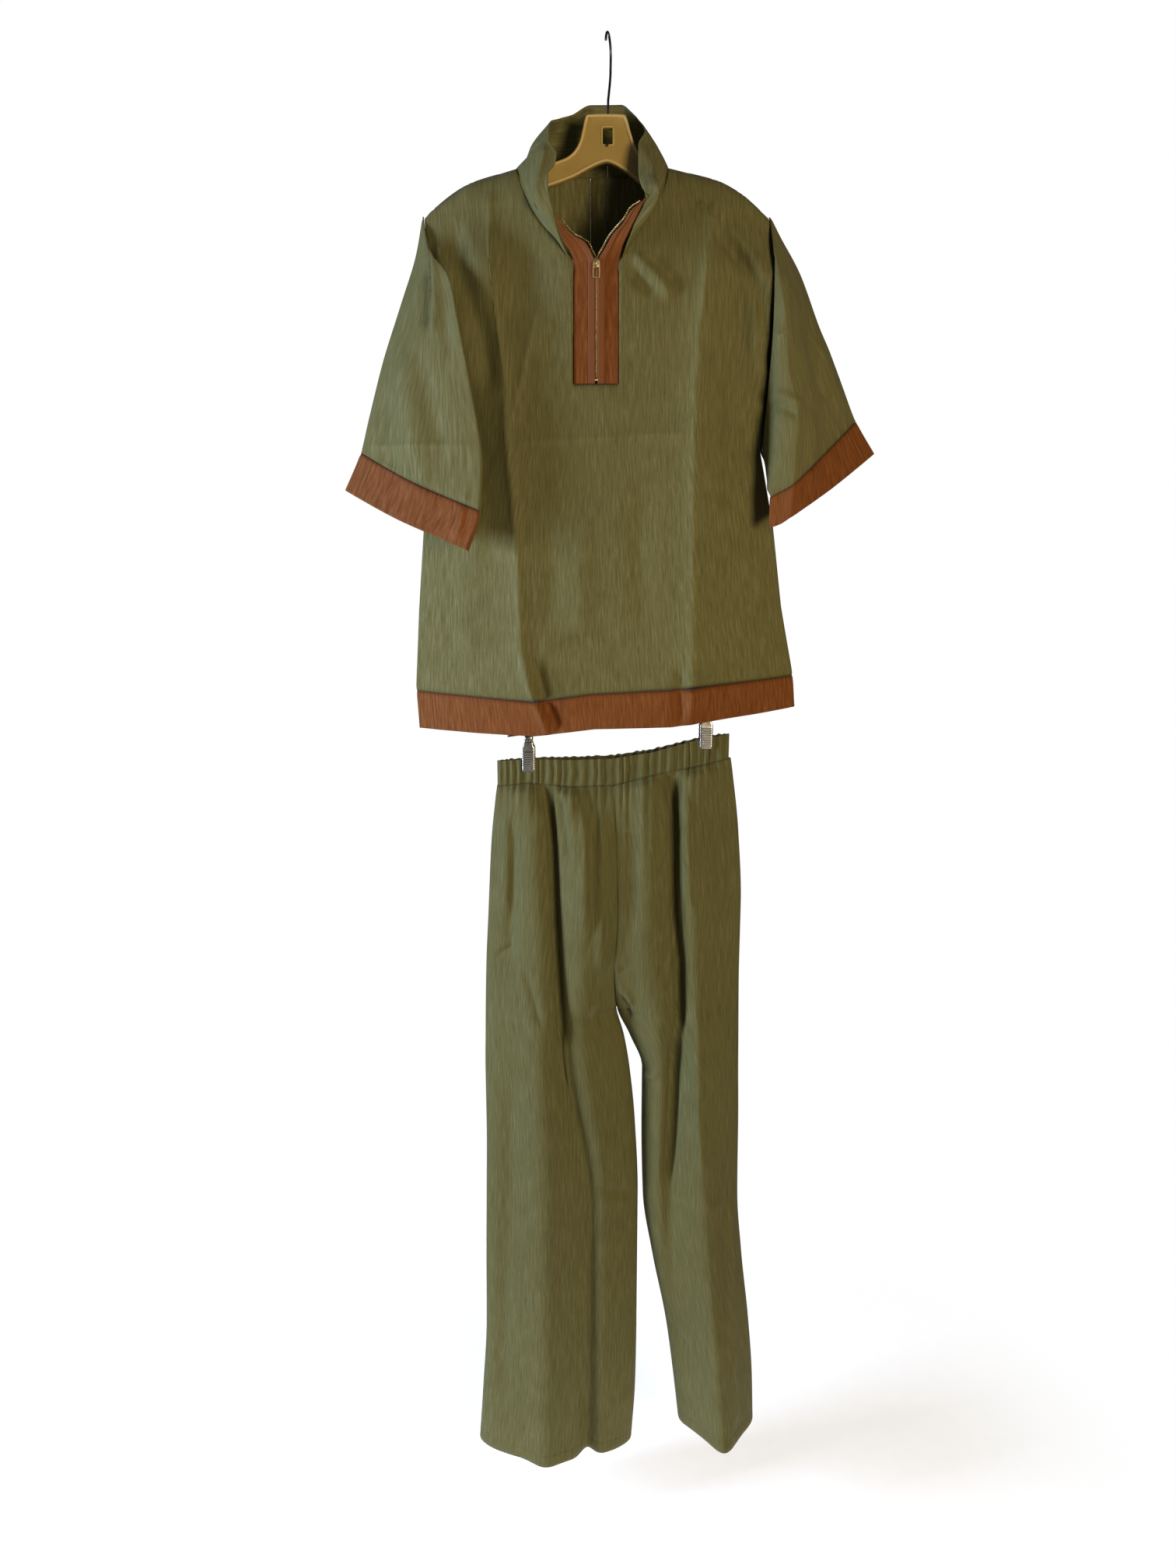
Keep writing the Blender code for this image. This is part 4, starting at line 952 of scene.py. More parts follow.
    def neck(self, right: int, back_right: int, back_left: int,
             left: int) -> tuple[np.ndarray, np.ndarray, np.ndarray]:
        """The neckline's x and z: right front upwards, the back, and left front downwards."""
        front_right = along(self.neck_right, right + 1)
        front_left = along(self.neck_left, left + 1)
        back_x = np.concatenate([
            lerp(front_right[-1, 0], self.back_seam_x,
                 np.linspace(0.0, 1.0, back_right + 1) ** 1.6)[:-1],
            lerp(front_left[0, 0], self.back_seam_x,
                 np.linspace(0.0, 1.0, back_left + 1) ** 1.6)[::-1]])
        ends = np.clip(np.minimum(back_x - front_right[-1, 0], front_left[0, 0] - back_x) / 9.0,
                       0.0, 1.0)
        back_z = np.where(back_x < self.back_seam_x, front_right[-1, 1], front_left[0, 1])
        back = np.stack([back_x, lerp(back_z, self.back_neck_z, ends)], axis=-1)
        return front_right, back, front_left


# How much deeper the folds are than their tables say, so that they read at the photo's size
TOP_GAIN = 1.7
LEG_GAIN = 1.9

TOP_FRONT_FOLDS: tuple[Fold, ...] = (
    # The two creases pressed down the front, and the pinches where they meet the band
    Fold(((-136, -165), (-134, -246), (-126, -327), (-117, -380), (-115, -439), (-107, -540),
          (-101, -710)), 7.0, 2.4, 20.0, Profile.PRESSED),
    Fold(((121, -175), (109, -264), (101, -350), (99, -444), (100, -580), (102, -720)),
         7.0, 2.4, 20.0, Profile.PRESSED),
    Fold(((-99, -690), (-92, -735), (-70, -795)), 6.0, 5.0, 22.0),
    Fold(((-86, -700), (-78, -740), (-56, -795)), 7.0, -4.5, 22.0),
    Fold(((101, -700), (101, -745), (102, -786)), 6.0, 4.0, 22.0),
    Fold(((88, -705), (89, -745), (92, -786)), 7.0, -3.0, 22.0),
    # The cloth stays turned for a hand's width on both sides of those creases
    Fold(((-134, -200), (-126, -327), (-115, -439), (-107, -540), (-101, -780)), 42.0, 5.4,
         60.0, Profile.PRESSED),
    Fold(((119, -200), (101, -350), (99, -444), (100, -580), (102, -780)), 42.0, 5.4,
         60.0, Profile.PRESSED),
    # Broad hollows: the yoke falls back beside the collar, and the side turns away under the arm
    Fold(((-150, -196), (-146, -250), (-140, -330)), 26.0, 5.0, 60.0),
    Fold(((-98, -200), (-94, -260), (-88, -340)), 30.0, -5.0, 60.0),
    Fold(((156, -250), (158, -360), (164, -480)), 15.0, -3.6, 70.0),
    Fold(((128, -230), (126, -380), (128, -560)), 20.0, 3.0, 80.0),
    Fold(((-176, -540), (-178, -640), (-180, -740)), 26.0, 3.6, 70.0),
    # Creases from folding: one level across, and one that makes a triangle with it
    Fold(((-114, -449), (-40, -446), (40, -441), (104, -438)), 4.5, 1.6, 30.0, Profile.PRESSED),
    Fold(((-75, -283), (-94, -358), (-112, -433)), 4.0, 1.5, 30.0, Profile.PRESSED),
    # Wrinkles beside the zip
    Fold(((26, -240), (40, -254), (56, -268), (73, -293)), 6.0, 3.4, 14.0),
    Fold(((22, -256), (38, -271), (54, -290)), 6.5, -3.0, 16.0),
    Fold(((44, -240), (62, -258), (84, -276)), 7.0, -2.2, 16.0),
    Fold(((-46, -300), (-60, -330), (-66, -372)), 8.0, -1.8, 24.0),
    # Hollows that run down from the left shoulder and under the right one
    Fold(((118, -207), (141, -235), (157, -250), (176, -279), (184, -318), (187, -370)),
         9.0, -3.6, 26.0),
    Fold(((132, -200), (150, -220), (168, -246), (180, -276)), 7.0, 2.2, 22.0),
    Fold(((104, -178), (110, -192), (118, -205)), 4.0, 2.2, 9.0),
    Fold(((112, -176), (117, -190), (122, -202)), 4.0, -2.0, 9.0),
    Fold(((138, -300), (141, -400), (141, -480), (150, -560)), 12.0, -3.0, 60.0),
    Fold(((-182, -196), (-170, -240), (-158, -285), (-142, -340), (-136, -400)), 12.0, -4.4, 36.0),
    Fold(((-196, -222), (-188, -262), (-182, -300)), 8.0, 2.6, 26.0),
    Fold(((-168, -420), (-160, -500), (-154, -610)), 12.0, 2.0, 50.0),
    Fold(((-186, -560), (-190, -640), (-186, -730)), 14.0, -2.4, 50.0),
    # Soft creases above the band
    Fold(((-62, -683), (-30, -676), (19, -668)), 6.0, -1.6, 24.0),
    Fold(((156, -637), (182, -648), (212, -662)), 7.0, -2.0, 20.0),
    Fold(((172, -560), (186, -640), (200, -715)), 13.0, 2.4, 46.0),
    Fold(((-28, -520), (-32, -620), (-24, -700)), 16.0, 1.8, 60.0),
    Fold(((44, -470), (40, -560), (52, -680)), 16.0, -1.8, 60.0),
    Fold(((-70, -520), (-66, -600), (-72, -680)), 12.0, -1.6, 50.0),
)

TOP_BACK_FOLDS: tuple[Fold, ...] = (
    Fold(((-150, -190), (-128, -300), (-118, -430), (-112, -560)), 14.0, -3.6, 60.0),
    Fold(((112, -185), (98, -290), (88, -420), (92, -540)), 14.0, -3.6, 60.0),
    Fold(((-70, -200), (-78, -340), (-70, -520), (-76, -700)), 18.0, 2.8, 80.0),
    Fold(((48, -210), (56, -360), (46, -540), (52, -700)), 18.0, 2.6, 80.0),
    Fold(((-180, -470), (-176, -600), (-182, -740)), 14.0, 2.6, 60.0),
    Fold(((156, -470), (164, -600), (170, -730)), 14.0, 2.4, 60.0),
    Fold(((-130, -600), (-134, -690), (-128, -780)), 12.0, -2.6, 40.0),
    Fold(((112, -590), (118, -680), (112, -770)), 12.0, -2.4, 40.0),
    Fold(((-110, -452), (-40, -447), (60, -441), (120, -436)), 5.0, 1.4, 30.0, Profile.PRESSED),
)


@dataclass
class TopBody:
    """Front, two back halves and the rust hem band of the top."""

    shape: TopShape = field(default_factory=TopShape)
    window_spans: int = 26
    neck_spans: tuple[int, int, int, int] = (34, 26, 26, 30)
    front_shoulder: int = 44
    back_shoulder: int = 44
    upper_rows: int = 92
    lower_rows: int = 112
    back_rows: int = 150
    band_rows: int = 20
    seam_dip: float = 1.1       # how far the cloth is drawn in at a sewn edge
    front: Grid = field(init=False)

    def columns(self, tops: np.ndarray, bottoms: np.ndarray, rows: int, low: str | None,
                high: str | None, crowd: float = 1.0) -> np.ndarray:
        """Straight columns between two rows of points; the outermost bend to the sides.

        Args:
            tops: x and z of each column's upper end.
            bottoms: x and z of its lower end.
            rows: points down a column.
            low: name of the side that the first column follows.
            high: name of the side that the last column follows.
            crowd: above 1, the upper rows lie closer together.

        Returns:
            x and z of every point.
        """
        part = np.linspace(0.0, 1.0, rows)[:, None] ** crowd
        x = lerp(tops[None, :, 0], bottoms[None, :, 0], part)
        z = lerp(tops[None, :, 1], bottoms[None, :, 1], part)
        across = np.linspace(0.0, 1.0, tops.shape[0])[None, :]
        if low is not None:
            x = x + (self.shape.row(z[:, :1])[low] - x[:, :1]) * (1.0 - across) ** 2
        if high is not None:
            x = x + (self.shape.row(z[:, -1:])[high] - x[:, -1:]) * across ** 2
        return np.stack([x, z], axis=-1)

    def dressed(self, flat: np.ndarray, face: Face, folds: tuple[Fold, ...], seed: int,
                seam_edges: tuple[bool, bool, bool]) -> Grid:
        """Give a flat layout its depth, folds, crinkles and drawn-in seams.

        Args:
            flat: x and z of every point.
            face: front or back.
            folds: its folds.
            seed: which crinkles.
            seam_edges: whether the top, the bottom and the sides are sewn.

        Returns:
            The finished grid.
        """
        x, z = flat[..., 0], flat[..., 1]
        depth = self.shape.front_y if face is Face.FRONT else self.shape.back_y
        y = depth(x, np.clip(z, self.shape.front[-1][0], None))
        grid = Grid(np.stack([x, y, z], axis=-1), outward=face.value)
        sign = np.sign((grid.normals()[..., 1] * face.value).mean())
        grid.outward *= sign
        gap = grid.edge_gap(*seam_edges)
        below = self.shape.shoulder_z(x) - z
        free = smooth(below / 30.0) * smooth(gap / 12.0)
        height = TOP_GAIN * relief(x, z, folds) * smooth(below / 14.0) * smooth((gap - 0.5) / 6.0 + 0.2)
        height = height + 0.45 * crinkle(x, z, seed) * free
        height = height - self.seam_dip * np.exp(-gap / 2.2)
        made = grid.raised(height)
        # Painted highlight on the pressed folds' tops, painted shade along the sewn edges.
        made.painted_light = crease_highlight_lines(x, z, folds) - 0.5 * np.exp(-gap / 2.0)
        return made

    def front_layout(self) -> tuple[np.ndarray, np.ndarray]:
        """x and z of the front's points, and which cells are filled round the placket's window."""
        shape = self.shape
        right, _, left = shape.neck(*self.neck_spans)
        window = np.linspace(shape.placket_x[0] - SEAM_GAP, shape.placket_x[1] + SEAM_GAP,
                             self.window_spans + 1)
        level = shape.placket_bottom - SEAM_GAP
        right, left = right.copy(), left.copy()
        right[0, 0], left[-1, 0] = window[0], window[-1]
        top_right = np.concatenate([along(shape.shoulder[:4], self.front_shoulder + 1), right[-2::-1]])
        top_left = np.concatenate([left[::-1], along(shape.shoulder[4:], self.front_shoulder + 1)[1:]])
        row = shape.row(level)

        def level_row(low: float, high: float, count: int) -> np.ndarray:
            """Even points at the window's foot."""
            return np.stack([np.linspace(low, high, count), np.full(count, level)], axis=-1)

        upper_right = self.columns(top_right, level_row(float(row["side_r"]), window[0], len(top_right)),
                                   self.upper_rows + 1, "side_r", None, 1.35)
        upper_left = self.columns(top_left, level_row(window[-1], float(row["side_l"]), len(top_left)),
                                  self.upper_rows + 1, None, "side_l", 1.35)
        middle = np.stack([
            np.broadcast_to(window, (self.upper_rows + 1, len(window))),
            np.full((self.upper_rows + 1, len(window)), level)], axis=-1)
        upper = np.concatenate([upper_right, middle[:, 1:-1], upper_left], axis=1)
        feet = upper[-1]
        across = np.linspace(0.0, 1.0, len(feet))
        hem_x = feet[:, 0] + lerp(HEM_RIGHT - row["side_r"], HEM_LEFT - row["side_l"], across)
        hem = np.stack([hem_x, shape.hem_z(hem_x, 1) + SEAM_GAP / 2], axis=-1)
        lower = self.columns(feet, hem, self.lower_rows + 1, "side_r", "side_l")
        keep = np.ones((self.upper_rows + self.lower_rows, len(feet) - 1), bool)
        first = len(top_right) - 1
        keep[:self.upper_rows, first:first + self.window_spans] = False
        return np.concatenate([upper, lower[1:]]), keep

    def back_layout(self, side: Side) -> np.ndarray:
        """x and z of one back half's points, from the centre seam to the side."""
        shape = self.shape
        sign = 1.0 if side is Side.LEFT else -1.0
        seam = shape.back_seam_x + sign * SEAM_GAP / 2
        _, back, _ = shape.neck(*self.neck_spans)
        middle = self.neck_spans[1]
        neck = back[middle:] if sign > 0 else back[middle::-1]
        ridge = shape.shoulder[4:] if sign > 0 else shape.shoulder[3::-1]
        tops = np.concatenate([neck[:-1], along(ridge, self.back_shoulder + 1)])
        tops[0, 0] = seam
        hem_x = np.linspace(seam, HEM_LEFT if sign > 0 else HEM_RIGHT, len(tops))
        hem = np.stack([hem_x, shape.hem_z(hem_x, 1) + SEAM_GAP / 2], axis=-1)
        return self.columns(tops, hem, self.back_rows + 1, None,
                            "side_l" if sign > 0 else "side_r", 1.35)

    def band_layout(self, x_top: np.ndarray) -> np.ndarray:
        """x and z of the hem band below a panel's last row."""
        shape = self.shape
        across = (x_top - x_top[0]) / (x_top[-1] - x_top[0])
        x_bottom = lerp(shape.hem[0][0] + 2.5, shape.hem[-1][0], across)
        part = np.linspace(0.0, 1.0, self.band_rows + 1)[:, None]
        x = lerp(x_top[None, :], x_bottom[None, :], part)
        z = lerp(shape.hem_z(x_top, 1)[None, :] - SEAM_GAP / 2, shape.hem_z(x_bottom, 2)[None, :],
                 part)
        return np.stack([x, z], axis=-1)

    def build(self, finishes: Finishes) -> None:
        """Make the panels, the band and their stitching."""
        flat, keep = self.front_layout()
        self.front = self.dressed(flat, Face.FRONT, TOP_FRONT_FOLDS, 11, (True, True, False))
        self.front.keep = keep
        piece = cloth_piece("top_front_panel", self.front, finishes.olive,
                            ("top_front",))
        band_tops = [flat[-1, :, 0]]
        halves = []
        for side in (Side.RIGHT, Side.LEFT):
            flat = self.back_layout(side)
            grid = self.dressed(flat, Face.BACK, TOP_BACK_FOLDS, 23, (True, True, True))
            piece = cloth_piece(f"top_back_panel_{side.value}", grid, finishes.olive,
                                (f"top_back_{side.value}",))
            halves.append(flat[-1, :, 0])
        band_tops.append(np.concatenate([halves[0][::-1], halves[1]]))
        lines = []
        for face, x_top, folds, seed in ((Face.FRONT, band_tops[0], TOP_FRONT_FOLDS, 31),
                                         (Face.BACK, band_tops[1], TOP_BACK_FOLDS, 37)):
            grid = self.dressed(self.band_layout(x_top), face, folds, seed, (True, False, False))
            name = face.name.lower()
            piece = cloth_piece(f"hem_band_panel_{name}", grid, finishes.rust,
                                (f"hem_band_{name}",))
            lines.append(grid.line(1.2))
            lines.append(grid.line(self.band_rows - 1.4))
        stitches("hem_band_stitching", lines, finishes.rust_thread)


SLEEVE_RIGHT_RINGS: tuple = (
    ((-215, -1, -192), (-210, -20, -216), (-204, -34, -243), (-205, -35, -330),
     (-205, -2, -452), (-207, 36, -330)),
    ((-224, 0, -232), (-210, -30, -252), (-181, -60, -268), (-186, -48, -358),
     (-204, -14, -466), (-216, 35, -348)),
    ((-245, 0, -290), (-212, -42, -304), (-170, -76, -318), (-172, -62, -400),
     (-199, -28, -482), (-232, 30, -382)),
    ((-267, 0, -350), (-220, -52, -368), (-158, -84, -385), (-158, -72, -444),
     (-190, -44, -498), (-244, 22, -424)),
    ((-286, 1, -412), (-230, -56, -440), (-147, -88, -466), (-148, -78, -490),
     (-170, -64, -514), (-242, 4, -466)),
    ((-299, 2, -456), (-232, -52, -492), (-150, -90, -526), (-149, -84, -528),
     (-153, -78, -527), (-228, -18, -496)),
    ((-320, 4, -500), (-248, -48, -536), (-166, -86, -569), (-163, -81, -572),
     (-167, -76, -570), (-246, -18, -538)))

SLEEVE_LEFT_RINGS: tuple = (
    ((189, -1, -192), (190, -22, -216), (191, -36, -243), (190, -44, -330),
     (187, -2, -457), (191, 36, -330)),
    ((203, 4, -214), (199, -28, -240), (195, -46, -266), (193, -50, -348),
     (190, -12, -466), (196, 38, -340)),
    ((228, 18, -247), (213, -32, -276), (201, -54, -300), (196, -54, -372),
     (191, -22, -478), (208, 44, -356)),
    ((257, 28, -308), (232, -28, -338), (208, -60, -366), (199, -56, -412),
     (191, -34, -490), (222, 44, -392)),
    ((284, 34, -364), (250, -22, -400), (221, -64, -430), (203, -60, -462),
     (190, -44, -500), (234, 34, -430)),
    ((309, 38, -416), (262, -16, -458), (219, -64, -495), (204, -60, -504),
     (192, -54, -509), (244, 6, -464)),
    ((334, 40, -454), (272, -16, -498), (217, -62, -532), (204, -58, -541),
     (193, -53, -544), (256, 6, -503)))

SLEEVE_RIGHT_FOLDS: tuple[Fold, ...] = (
    Fold(((-199, -236), (-197, -262), (-196, -300), (-199, -336)), 5.0, 3.0, 20.0),
    Fold(((-208, -240), (-207, -280), (-210, -330)), 7.0, -3.2, 24.0),
    Fold(((-188, -262), (-186, -310), (-178, -370)), 7.0, -2.2, 30.0),
    Fold(((-292, -447), (-250, -452), (-200, -453), (-148, -455)), 5.0, 1.8, 26.0, Profile.PRESSED),
    Fold(((-164, -500), (-169, -535), (-178, -566)), 5.0, 2.6, 18.0),
    Fold(((-240, -330), (-232, -400), (-218, -470), (-206, -530)), 14.0, 2.8, 50.0),
    Fold(((-222, -330), (-204, -410), (-186, -480)), 12.0, -2.4, 50.0),
    Fold(((-262, -370), (-262, -430), (-252, -500)), 11.0, -2.2, 40.0))

SLEEVE_LEFT_FOLDS: tuple[Fold, ...] = (
    Fold(((190, -328), (198, -329), (208, -331)), 4.0, 1.8, 8.0, Profile.PRESSED),
    Fold(((187, -404), (203, -410), (224, -421)), 5.0, -2.6, 12.0),
    Fold(((190, -392), (206, -398), (226, -410)), 4.5, 2.0, 12.0),
    Fold(((200, -250), (204, -300), (210, -350)), 5.0, 2.0, 24.0),
    Fold(((226, -290), (246, -350), (262, -410)), 12.0, -3.0, 40.0),
    Fold(((246, -310), (272, -372), (292, -424)), 10.0, 2.6, 36.0),
    Fold(((232, -400), (240, -450), (246, -500)), 10.0, 2.6, 30.0))

SLEEVE_BACK_FOLDS: tuple[Fold, ...] = (
    Fold(((-236, -300), (-246, -380), (-262, -460)), 12.0, 2.8, 40.0),
    Fold(((-216, -300), (-220, -400), (-226, -480)), 12.0, -2.6, 40.0),
    Fold(((220, -280), (240, -360), (262, -430)), 12.0, 2.8, 40.0),
    Fold(((206, -300), (218, -380), (236, -460)), 12.0, -2.6, 40.0))


def ring_grid(points: np.ndarray) -> Grid:
    """A ring grid whose normals are turned away from its own axis."""
    grid = Grid(points, ring=True)
    away = points - points.mean(axis=1, keepdims=True)
    grid.outward = float(np.sign((grid.normals() * away).sum()))
    return grid


@dataclass
class Sleeve:
    """A short wide sleeve and its rust cuff: one flattened tube through a table of rings.

    Each ring gives the outer fold, the front face, the front fold, the hidden return, the
    underarm fold and the back.
    """

    side: Side
    rings: tuple
    folds: tuple[Fold, ...]
    stand_off: float
    seed: int
    tightness: tuple[float, ...] = (0.25, 1.0, 0.3, 1.0, 0.4, 1.0)
    spans: int = 26
    rows: int = 100
    cuff_rows: int = 20
    cuff_depth: float = 47.0
    ripple_radius: float = 62.0     # the crinkles are laid round a plain tube of this size

    def dressed(self, points: np.ndarray, puff: float, sewn: tuple[bool, bool]) -> Grid:
        """Add folds in front and behind, crinkles, and the drawn-in seams.

        Args:
            points: the plain rings.
            puff: how far the whole piece stands out, in millimetres.
            sewn: whether the first and the last ring are seams.

        Returns:
            The finished grid.
        """
        grid = ring_grid(points)
        facing = grid.normals()[..., 1]
        x, z = points[..., 0], points[..., 2]
        gap = grid.edge_gap(*sewn, False)
        free = smooth((gap + 1.0) / 9.0)
        front, back = smooth(-facing * 2.5), smooth(facing * 2.5)
        height = TOP_GAIN * (relief(x, z, self.folds) * front + relief(x, z, SLEEVE_BACK_FOLDS) * back)
        across, down = grid.grain()
        turn = across / across.max() * 2.0 * math.pi
        round_x, round_y = self.ripple_radius * np.cos(turn), self.ripple_radius * np.sin(turn)
        height = height + 0.5 * crinkle(round_x + 0.6 * round_y, down, self.seed)
        made = grid.raised(height * free + puff - 1.2 * np.exp(-gap / 2.2))
        # Painted highlight on the pressed folds' tops, painted shade along the seams.
        made.painted_light = crease_highlight_lines(x, z, self.folds, front) - 0.5 * np.exp(-gap / 2.0)
        return made

    def build(self, finishes: Finishes) -> None:
        """Make the sleeve, the cuff and the cuff's stitching."""
        loops = np.array([closed_loop(np.asarray(ring, float), self.spans, self.tightness)
                          for ring in self.rings])
        knots = np.arange(len(loops), dtype=float)
        seam = len(loops) - 2.0
        body = spline(knots, loops, np.linspace(0.0, seam - 0.5 / self.cuff_depth, self.rows + 1))
        cuff = spline(knots, loops, np.linspace(seam, seam + 1.0, self.cuff_rows + 1))
        body[0, :, 0] += self.stand_off
        side = self.side.value
        grid = self.dressed(body, 0.0, (True, True))
        piece = cloth_piece(f"sleeve_panel_{side}", grid, finishes.olive,
                            (f"sleeve_{side}",))
        min(grid.area(), 0.15)
        cuff_grid = self.dressed(cuff, 0.3, (True, False))
        piece = cloth_piece(f"cuff_panel_{side}", cuff_grid, finishes.rust,
                            (f"cuff_{side}",))
        stitches(f"cuff_stitching_{side}", [cuff_grid.line(1.3), cuff_grid.line(self.cuff_rows - 1.3)],
                 finishes.rust_thread)


COLLAR_ROWS: tuple = (
    ((-55, -58, -226), (-61, -58, -204)), ((-68, -56, -205), (-67, -58, -179)),
    ((-80, -50, -180), (-67, -52, -161)), ((-79, -44, -158), (-60, -46, -148)),
    ((-76, -37, -138), (-58, -42, -136)), ((-74, -30, -122), (-67, -33, -119)),
    ((-86, -10, -116), (-66, -10, -94)), ((-76, 22, -108), (-57, 20, -80)),
    ((-52, 41, -104), (-40, 38, -69)), ((-20, 47, -98), (-19, 45, -57)),
    ((17, 45, -98), (16, 44, -57)), ((38, 34, -104), (25, 34, -66)),
    ((52, 14, -110), (36, 14, -84)), ((57, -8, -120), (42, -10, -102)),
    ((53, -30, -140), (34, -24, -122)), ((53, -46, -160), (34, -34, -150)),
    ((56, -66, -183), (37, -50, -172)), ((28, -61, -216), (44, -62, -185)))


@dataclass
class Collar:
    """The stand collar: a strip lofted from the neckline through its middle to its upper edge."""

    shape: TopShape
    rows: tuple = COLLAR_ROWS
    lift: float = -0.8
    around: int = 150
    up: int = 22
    folds: tuple[Fold, ...] = (
        Fold(((-70, -122), (-76, -160), (-82, -204)), 7.0, 4.6, 14.0, Profile.PRESSED),
        Fold(((58, -150), (60, -170), (52, -200)), 5.0, -1.6, 14.0))

    def build(self, finishes: Finishes) -> None:
        """Make the collar and its edge stitching."""
        right, back, left = self.shape.neck(5, 4, 4, 4)
        flat = np.concatenate([right[:-1], back, left[1:]])
        order = np.arange(len(flat))
        behind = (order >= len(right) - 1) & (order < len(right) + len(back) - 1)
        y = np.where(behind, self.shape.back_y(flat[:, 0], flat[:, 1]),
                     self.shape.front_y(flat[:, 0], flat[:, 1]))
        seam = np.stack([flat[:, 0], y, flat[:, 1]], axis=-1)
        seam[0, 0], seam[-1, 0] = seam[0, 0] - 3.5, seam[-1, 0] + 2.0
        table = np.asarray(self.rows, float)
        place = np.arange(len(table), dtype=float)
        around = np.linspace(0.0, len(table) - 1.0, self.around)
        upper = spline(place, table, around)
        low = spline(place, seam, around)
        rise = upper[:, 0] - low
        low = low + self.lift * rise / np.linalg.norm(rise, axis=1, keepdims=True)
        strip = np.concatenate([low[:, None], upper], axis=1)
        part = np.linspace(0.0, 2.0, self.up)
        points = np.array([spline([0.0, 1.0, 2.0], row, part) for row in strip])
        grid = Grid(points)
        centre = np.array([-19.0, -5.0, -140.0])
        away = (points - centre) * (1.0, 1.0, 0.0)
        grid.outward = float(np.sign((grid.normals() * away).sum()))
        x, z = points[..., 0], points[..., 2]
        across, down = path_length(points, 0), path_length(points, 1)
        facing = smooth(-grid.normals()[..., 1] * 2.5)
        height = relief(x, z, self.folds) * facing + 0.45 * crinkle(across, down * 2.0, 41)
        height = height * smooth(down / 8.0) - 0.5 * np.exp(-down / 2.0)
        made = grid.raised(height)
        # Painted highlight along the collar's upper edge, painted shade along the neckline seam.
        made.painted_light = 0.35 * np.exp(-(down[:, -1:] - down) / 2.0) - 0.6 * np.exp(-down / 2.2)
        piece = cloth_piece("stand_collar", made, finishes.olive, ("collar",))


